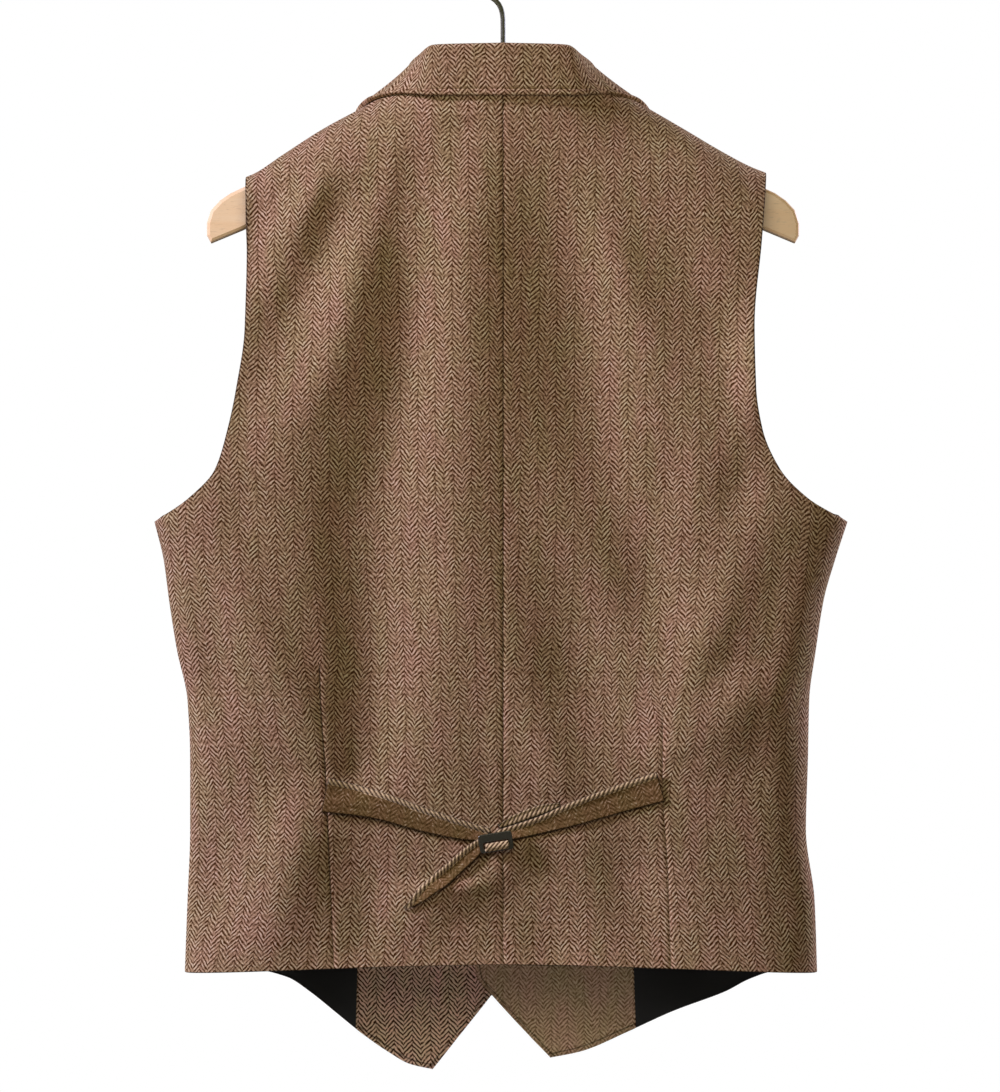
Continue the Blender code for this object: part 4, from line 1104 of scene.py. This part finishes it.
def make_band(name):
    """A strap, with its corded edge in the second finish."""
    band = BANDS[name]
    u, v = np.meshgrid(shares(90, start=1, end=1), shares(26, start=1, end=1))
    outer = band_points(band, u, v)
    turn = 1 if band["x"][-1] < band["x"][0] else -1
    along, up = arc(outer, 1), arc(outer, 0)
    to_top = up[-1:, :] - up
    turned = name == "strap_turn"   # the turn shows only its cord
    cord = to_top[:1, :] if turned else CORD_WIDTH
    roll = np.sqrt(np.clip(1 - ((to_top - cord / 2) / cord * 2) ** 2, 0, 1)) * CORD_ROLL
    groove = seam_dip(to_top - cord - 0.2, 0.9, GROOVE)
    outer[..., 1] += np.where(to_top < cord, roll - CORD_SUNK, 0) - groove
    cut = np.stack((along, up), axis=2)
    # lay is the distance to the strap's nearest edge, where both finishes paint shade.
    to_edge = np.minimum(np.minimum(to_top, up), np.minimum(along, along[:, -1:] - along))
    piece = shell(name + "_cloth", outer, BAND_WALL, turn, (strap_tweed, cord_tweed), cut, to_edge,
                  rims=ALL_RIMS)
    kinds = np.zeros(len(piece.data.polygons), np.int32)
    faces = (len(outer) - 1) * (outer.shape[1] - 1)
    row_top = np.minimum(to_top[:-1, :-1], to_top[1:, 1:]).ravel()
    kinds[:faces] = row_top < (max(band["width"]) if turned else CORD_WIDTH)
    piece.data.polygons.foreach_set("material_index", kinds)
    return stand_for(piece, name, "tweed")


bands = {name: make_band(name) for name in BANDS}
print("straps", [round(area_of(piece), 5) for piece in bands.values()], "m2")

# %% [markdown]
# ## Slide and loop
# The slide is a flat frame with a broad bar above its slot, stamped from brass sheet and blackened
# in a bath, which leaves a dull dark metal with soft highlights. Nickel plating on the hook's wire
# is bright and smooth. The strap bulges out of the slot as a small loop.

# %% Metals
def metal_finish(name, colour, roughness, grain, strength):
    finish, add, link = new_finish(name, Metallic=1.0, Roughness=roughness)
    noise = add("TexNoise", Vector=add("TexCoord", out="Object"), Scale=grain, Detail=4.0)
    tone = add("MapRange", noise, 0, 1, 0.8, 1.25)
    link(add("Mix", A=hex_colour(colour), B=tone, **TIMES), "Base Color")
    link(add("MapRange", noise, 0, 1, roughness * 0.8, roughness * 1.3), "Roughness")
    link(add("Bump", Height=noise, Distance=0.0002, Strength=strength), "Normal")
    return finish


blackened = metal_finish("brass_blackened", "#5b5854", 0.38, 900, 0.25)
steel = metal_finish("steel_wire_nickel_plated", "#b9b9bd", 0.2, 400, 0.08)

print(blackened.name, "and", steel.name)

# %% [markdown]
# The frame starts as a flat outline with a hole, which gets its thickness and rounded edges as
# a stamping does. The loop is a small bulging piece of cloth in the slot.

# %% Slide and loop
SLIDE_SPOT, SLIDE_LIFT, SLIDE_TILT = (5.3, -669.5), 6.5, 9
SLIDE_SIZE, SLIDE_SIDES, SLIDE_WALL = (25.5, 14), 3, 1.6
SLIDE_SLOT = (-1.9, 5.4)   # middle and height of the slot under its broad bar
LOOP_SPOT, LOOP_SIZE = 4.5, (17.2, 6.8, 1.8)
LOOP_HANG = 1.2    # the loose loop hangs over the slot's lower edge


def rounded(half_width, half_height, radius, steps=6):
    """Corners of a rounded rectangle, turning left."""
    points = []
    for index, (sx, sz) in enumerate(((1, 1), (-1, 1), (-1, -1), (1, -1))):
        for step in range(steps + 1):
            angle = math.pi / 2 * (index + step / steps)
            points.append((sx * (half_width - radius) + radius * math.cos(angle),
                           sz * (half_height - radius) + radius * math.sin(angle)))
    return points


def mesh_of(rough, name, finish):
    """A curve object as a plain mesh piece; the curve object goes."""
    bpy.context.view_layer.update()
    graph = bpy.context.evaluated_depsgraph_get()
    data = bpy.data.meshes.new_from_object(rough.evaluated_get(graph))
    data.transform(rough.matrix_world)
    data.name = name
    data.materials.clear()
    data.materials.append(finish)
    data.shade_smooth()
    data.set_sharp_from_angle(angle=math.radians(40))
    bpy.data.objects.remove(rough)
    piece = bpy.data.objects.new(name, data)
    bpy.context.collection.objects.link(piece)
    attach(piece, "root")
    return piece


def make_slide():
    width, height = SLIDE_SIZE
    middle, slot = SLIDE_SLOT
    shape = bpy.data.curves.new("slide_outline", "CURVE")
    shape.dimensions = "2D"
    shape.fill_mode = "BOTH"
    shape.extrude = (SLIDE_WALL / 2 - 0.4) * MM
    shape.bevel_depth = 0.4 * MM
    shape.bevel_resolution = 3
    shape.offset = -0.4 * MM
    outlines = [(0, rounded(width / 2, height / 2, 2.4)),
                (middle, rounded(width / 2 - SLIDE_SIDES, slot / 2, 1.1)[::-1])]
    for centre, points in outlines:
        spline = shape.splines.new("POLY")
        spline.points.add(len(points) - 1)
        for point, (x, z) in zip(spline.points, points):
            point.co = (x * MM, (z + centre) * MM, 0, 1)
        spline.use_cyclic_u = True
    rough = bpy.data.objects.new("slide_outline", shape)
    x, level = SLIDE_SPOT
    rough.location = Vector((x, float(cloth_y("back", x, level)) + SLIDE_LIFT, level)) * MM
    rough.rotation_euler = (math.radians(90), math.radians(SLIDE_TILT), 0)
    bpy.context.collection.objects.link(rough)
    return mesh_of(rough, "slide_frame", blackened)


def make_loop():
    width, height, rise = LOOP_SIZE
    centre, middle = SLIDE_SPOT
    plane = float(cloth_y("back", centre, middle)) + SLIDE_LIFT
    u, v = np.meshgrid(shares(28, start=1, end=1), shares(16, start=1, end=1))
    x = LOOP_SPOT + (u - 0.5) * width
    bulge = np.sin(v * math.pi) * rise
    level = middle + SLIDE_SLOT[0] - (x - centre) * math.tan(math.radians(SLIDE_TILT))
    outer = np.stack((x, plane + BAND_WALL + bulge, level - LOOP_HANG + (v - 0.5) * height), axis=2)
    return shell("strap_loop_cloth", outer, BAND_WALL, -1, (cord_tweed,), rims=ALL_RIMS, edge=0.7)


stand_for(make_slide(), "slide", "blackened_metal")
stand_for(make_loop(), "strap_loop", "tweed")
print("slide and loop made")

# %% [markdown]
# ## Buttons
# A horn button is turned on a lathe, so a profile spun round an axis is the natural way. Horn is
# layered and takes a polish, so darker and lighter streaks show under a clear gloss. Four holes are
# drilled in its dish. They are not cut here: a near-black plug in each is painted shade of its inside.
# The sewing thread is polyester, matt and a little lighter than the cloth.

# %% Horn
def horn_finish(name):
    finish, add, link = new_finish(name, Roughness=0.28, Coat_Weight=0.3, Coat_Roughness=0.15)
    streaked = add("VectorMath", add("TexCoord", out="Object"), (260, 400, 60), operation="MULTIPLY")
    noise = add("TexNoise", Vector=streaked, Scale=1.0, Detail=5.0, Distortion=0.8)
    ramp = add("ValToRGB", noise, out=None)
    for stop, place, code in zip(ramp.color_ramp.elements, (0.35, 0.72), ("#1c110b", "#6b4226")):
        stop.position, stop.color = place, hex_colour(code)
    link(ramp.outputs[0], "Base Color")
    link(add("Bump", Height=noise, Distance=0.0001, Strength=0.15), "Normal")
    return finish


def thread_finish(name):
    finish, add, link = new_finish(name, Roughness=0.6, Sheen_Weight=0.1)
    twist = add("TexNoise", Vector=add("TexCoord", out="Object"), Scale=2500.0)
    link(add("Mix", Factor=twist, A=hex_colour("#5a4029"), B=hex_colour("#94755a"), **BLEND), "Base Color")
    return finish


horn, thread = horn_finish("horn_turned_polished"), thread_finish("thread_brown_polyester")
# A plain near-black finish that paints the shade inside each hole.
hole_shade = new_finish("horn_drilled_hole", Roughness=0.8, Base_Color=hex_colour("#0d0806"))[0]
print("horn and thread ready")

# %% [markdown]
# ## Buttons and their sewing
# Two strands cross each way through a button's holes, and purl stitches, close loops of thread
# over a cord, edge each buttonhole. Here are the sizes of both.

# %% Button pieces
BUTTONS, BUTTON_TOP, BUTTON_STEP = 5, -405, 82
BUTTON_RADIUS, BUTTON_WALL = 9, 3.4
BUTTON_PROFILE = ((0.02, 0.52), (0.35, 0.52), (0.55, 0.56), (0.68, 0.72), (0.78, 0.93),
                  (0.86, 1.0), (0.93, 0.97), (0.985, 0.84), (1, 0.66), (0.97, 0.42),
                  (0.88, 0.16), (0.7, 0.03), (0.02, 0.0))
HOLE_SPREAD, HOLE_RADIUS, THREAD_RADIUS = 1.9, 0.8, 0.34
STRAND_GAP, STRAND_RISE = 0.35, 0.75
SLIT_START, SLIT_LENGTH = -2, 21    # the buttonhole, from the button's middle outwards
PURLS, PURL_RADIUS = 38, 0.28
PURL_FAR, PURL_NEAR = (1.1, 0.1), (0.25, 0.42)    # out from the slit, and up from the cloth


def front_face(x, level):
    """Y of the left front's outer face."""
    return float(cloth_y("front", x, level) - overlap("left", x))

print(BUTTONS, "buttons of", 2 * BUTTON_RADIUS, "mm")

# %% [markdown]
# A thread is a round tube along its route. The strands arch over the dish from hole to hole, and
# the purl stitches zigzag along the slit.

# %% Sewing
def make_tube(name, routes, radius, finish):
    """Round threads along routes of points, as one piece."""
    shape = bpy.data.curves.new(name, "CURVE")
    shape.dimensions = "3D"
    shape.bevel_depth = radius * MM
    shape.bevel_resolution = 2
    shape.use_fill_caps = True
    for route in routes:
        spline = shape.splines.new("POLY")
        spline.points.add(len(route) - 1)
        for point, place in zip(spline.points, route):
            point.co = (*(Vector(place) * MM), 1)
    rough = bpy.data.objects.new(name + "_route", shape)
    bpy.context.collection.objects.link(rough)
    return mesh_of(rough, name, finish)


def sew_on(index, level):
    """Thread through a button's four holes, and a near-black plug in each hole under it, painted shade of
    the hole's inside.
    """
    dish = front_face(CENTRE_FRONT, level) - SEAM - BUTTON_PROFILE[0][1] * BUTTON_WALL
    strands = [[(CENTRE_FRONT + way * HOLE_SPREAD - beside * lean,
                 dish + 0.2 - STRAND_RISE * math.cos(way * math.pi / 2),
                 level + way * lean * HOLE_SPREAD + beside) for way in np.linspace(-1, 1, 7).tolist()]
               for lean in (-1, 1) for beside in (-STRAND_GAP, STRAND_GAP)]
    make_tube(f"button_{index + 1}_thread", strands, THREAD_RADIUS, thread)
    # Painted shade: a short dark plug fills the mouth of each hole.
    hole_shade_plugs = [[(CENTRE_FRONT + sx * HOLE_SPREAD, dish + y, level + sz * HOLE_SPREAD) for y in (0.3, -0.06)]
              for sx, sz in ((1, 1), (-1, 1), (-1, -1), (1, -1))]
    make_tube(f"button_{index + 1}_holes", hole_shade_plugs, HOLE_RADIUS, hole_shade)


def make_buttonhole(index, level):
    """Purl stitches on both sides of a slit, with a bar across its end."""
    start, end = CENTRE_FRONT + SLIT_START, CENTRE_FRONT + SLIT_START + SLIT_LENGTH
    routes = []
    for side in (-1, 1):
        line = []
        for step in range(PURLS * 2):
            x = start + SLIT_LENGTH * step / (PURLS * 2)
            out, up = PURL_NEAR if step % 2 else PURL_FAR
            line.append((x, front_face(x, level) - up, level + side * out))
        routes.append(line)
    bar = front_face(end, level) - 0.35
    routes += [[(end + beat, bar, level + PURL_FAR[0] * side) for side in (-1, 1)]
               for beat in (-0.5, 0, 0.5)]
    make_tube(f"buttonhole_{index + 1}_stitches", routes, PURL_RADIUS, thread)


def make_button(index, level):
    face = front_face(CENTRE_FRONT, level) - SEAM
    mesh = bmesh.new()
    line = [mesh.verts.new((r * BUTTON_RADIUS * MM, -h * BUTTON_WALL * MM, 0))
            for r, h in BUTTON_PROFILE]
    edges = [mesh.edges.new(pair) for pair in zip(line, line[1:])]
    bmesh.ops.spin(mesh, geom=line + edges, cent=(0, 0, 0), axis=(0, 1, 0), angle=math.tau,
                   steps=40, use_merge=True)
    bmesh.ops.remove_doubles(mesh, verts=mesh.verts, dist=1e-6)
    bmesh.ops.contextual_create(mesh, geom=[e for e in mesh.edges if e.is_boundary])
    bmesh.ops.recalc_face_normals(mesh, faces=mesh.faces)
    data = bpy.data.meshes.new(f"button_{index + 1}_horn")
    mesh.to_mesh(data)
    mesh.free()
    data.materials.append(horn)
    data.shade_smooth()
    data.set_sharp_from_angle(angle=math.radians(35))
    data.transform(Matrix.Translation(Vector((CENTRE_FRONT, face, level)) * MM))
    piece = bpy.data.objects.new(data.name, data)
    bpy.context.collection.objects.link(piece)
    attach(piece, "root")
    return stand_for(piece, f"button_{index + 1}", "horn")


button_levels = [BUTTON_TOP - BUTTON_STEP * number for number in range(BUTTONS)]
for number, level in enumerate(button_levels):
    make_button(number, level)
for number, level in enumerate(button_levels):
    sew_on(number, level)
    make_buttonhole(number, level)
print(BUTTONS, "buttons sewn on")

# %% [markdown]
# ## Wood and wire
# The hanger is cut from pale beech, rounded over and lacquered. Beech is close-grained, with
# short dark flecks along the grain. The lacquer fills it, so the coat is smooth while the wood
# keeps a little texture below. The hook is nickel-plated steel wire.

# %% Beech
def beech_finish(name):
    finish, add, link = new_finish(name, Roughness=0.42, Coat_Weight=0.25, Coat_Roughness=0.25)
    place = add("TexCoord", out="Object")
    along = add("VectorMath", place, (9, 160, 160), operation="MULTIPLY")
    rings = add("TexNoise", Vector=along, Scale=1.0, Detail=4.0, Distortion=0.6)
    fleck_place = add("VectorMath", place, (220, 1500, 1500), operation="MULTIPLY")
    flecks = add("TexNoise", Vector=fleck_place, Scale=1.0, Detail=2.0)
    base = add("Mix", Factor=rings, A=hex_colour("#ffe0bf"), B=hex_colour("#f3bf8e"), **BLEND)
    link(add("Mix", A=base, B=add("MapRange", flecks, 0.6, 0.75, 1, 0.78), **TIMES), "Base Color")
    link(add("Bump", Height=flecks, Distance=0.0001, Strength=0.2), "Normal")
    return finish


beech = beech_finish("beech_lacquered")
for node, finish in (("hanger", beech), ("hook", steel)):
    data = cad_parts[node].data
    data.materials.clear()
    data.materials.append(finish)

print(beech.name, "on the hanger and", steel.name, "on its hook")

# %% [markdown]
# ## Light, floor and surroundings
# A soft light from high on the viewer's left rakes across the cloth, so that the folds show. It is
# a sun with a wide disc, because its light is even from hem to collar. A lamp above the collar makes
# the shoulders brighter, and a weak low one fills the facings that hang below the hem. Two more
# light the front in the same way, and a weak surround fills the shadows.

# %% Studio
def aim(lamp, direction):
    lamp.rotation_euler = Vector(direction).to_track_quat("-Z", "Y").to_euler()


def soft_light(name, place, target, size, power, colour=(1, 1, 1), spread=180):
    data = bpy.data.lights.new(name, "AREA")
    data.shape = "RECTANGLE"
    data.size, data.size_y = size
    data.energy = power
    data.color = colour
    data.spread = math.radians(spread)
    lamp = bpy.data.objects.new(name, data)
    lamp.location = place
    lamp.visible_camera = False
    aim(lamp, Vector(target) - Vector(place))
    bpy.context.collection.objects.link(lamp)


def broad_sun(name, azimuth, height, disc, strength, colour):
    """A sun seen azimuth degrees from +Y towards +X, and height degrees up."""
    data = bpy.data.lights.new(name, "SUN")
    data.angle = math.radians(disc)
    data.energy = strength
    data.color = colour
    lamp = bpy.data.objects.new(name, data)
    turn, rise = math.radians(azimuth), math.radians(height)
    aim(lamp, (-math.cos(rise) * math.sin(turn), -math.cos(rise) * math.cos(turn), -math.sin(rise)))
    bpy.context.collection.objects.link(lamp)


KEY_COLOUR, SHADE_COLOUR = (1, 0.99, 1.26), (1.06, 1, 0.42, 1)
broad_sun("key", 72.2, 28, 12, 3.95, KEY_COLOUR)
soft_light("top", (0, 0.82, -0.1), (0, 0, -0.28), (0.9, 0.5), 3.2, (1.03, 1, 0.82))
soft_light("low", (0, 0.62, -1.3), (0, -0.03, -0.83), (0.4, 0.1), 0.05, (1.02, 0.97, 0.9), 22)
soft_light("front key", (-2.5, -1.15, 0.5), (0, 0, -0.45), (0.4, 0.8), 84, KEY_COLOUR)
soft_light("front fill", (1.6, -2.4, 0), (0, 0, -0.45), (1.2, 1.6), 6, (1.05, 0.97, 1))

print(len(bpy.data.lights), "lamps")

# %% [markdown]
# The camera sees the surround plain white, but as light it is weak. The floor is grey, far below
# and only staged, so it is no part of the object.

# %% Surround and floor
world = bpy.data.worlds.new("white studio")
bpy.context.scene.world = world
world.use_nodes = True
surround = world.node_tree.nodes["Background"]
add = partial(add_node, world.node_tree)
seen = add("LightPath", out="Is Camera Ray")
sky = add("Mix", Factor=seen, A=SHADE_COLOUR, B=(1, 1, 1, 1), **BLEND)
world.node_tree.links.new(sky, surround.inputs["Color"])
AMBIENT = 0.075
world.node_tree.links.new(add("MapRange", seen, 0, 1, AMBIENT, 1), surround.inputs["Strength"])
bpy.context.scene.view_settings.view_transform = "Standard"

FLOOR_LEVEL, FLOOR_RADIUS = -1.6, 1.8
floor_mesh = bmesh.new()
bmesh.ops.create_circle(floor_mesh, cap_ends=True, radius=FLOOR_RADIUS, segments=96)
floor_data = bpy.data.meshes.new("floor")
floor_mesh.to_mesh(floor_data)
floor_mesh.free()
floor = bpy.data.objects.new("floor", floor_data)
floor.location.z = FLOOR_LEVEL
floor_data.materials.append(
    new_finish("floor_grey_matt", Roughness=0.9, Base_Color=hex_colour("#83807c"))[0])
bpy.context.collection.objects.link(floor)

print("floor at", FLOOR_LEVEL, "m")

# %% [markdown]
# ## The cut of each cloth
# Every cloth piece is listed with the size of the flat rectangle that it was cut from, and the
# area of its cut.

# %% Sheets
Cut = namedtuple("Cut", "name flat area rests_on")
CUTS = (
    Cut("back_left", (0.30, 0.72), 0.165, "hanger"),
    Cut("back_right", (0.30, 0.72), 0.160, "hanger"),
    Cut("front_left", (0.33, 0.80), 0.170, "hanger"),
    Cut("front_right", (0.33, 0.80), 0.168, "hanger"),
    Cut("facing_left", (0.15, 0.80), 0.074, "front_left_cloth"),
    Cut("facing_right", (0.15, 0.80), 0.074, "front_right_cloth"),
    Cut("lining_left", (0.21, 0.74), 0.092, "front_left_cloth"),
    Cut("lining_right", (0.21, 0.74), 0.092, "front_right_cloth"),
    Cut("collar", (0.42, 0.078), 0.026, "back_left_cloth"),
    Cut("lapel_left", (0.07, 0.25), 0.0115, "front_left_cloth"),
    Cut("lapel_right", (0.07, 0.21), 0.0103, "front_right_cloth"),
    Cut("strap_left", (0.128, 0.027), 0.003, "back_left_cloth"),
    Cut("strap_right", (0.132, 0.025), 0.0029, "back_right_cloth"),
    Cut("strap_turn", (0.052, 0.016), 0.00066, "strap_right_cloth"),
    Cut("strap_tail", (0.082, 0.017), 0.0012, "back_left_cloth"),
    Cut("strap_loop", (0.019, 0.01), 0.00014, "slide_frame"),
)
for piece in CUTS:
    cloth = bpy.data.objects[piece.name + "_cloth"]
    print(piece.name, "cut", piece.area, "m2, modelled", round(area_of(cloth), 5), "m2")
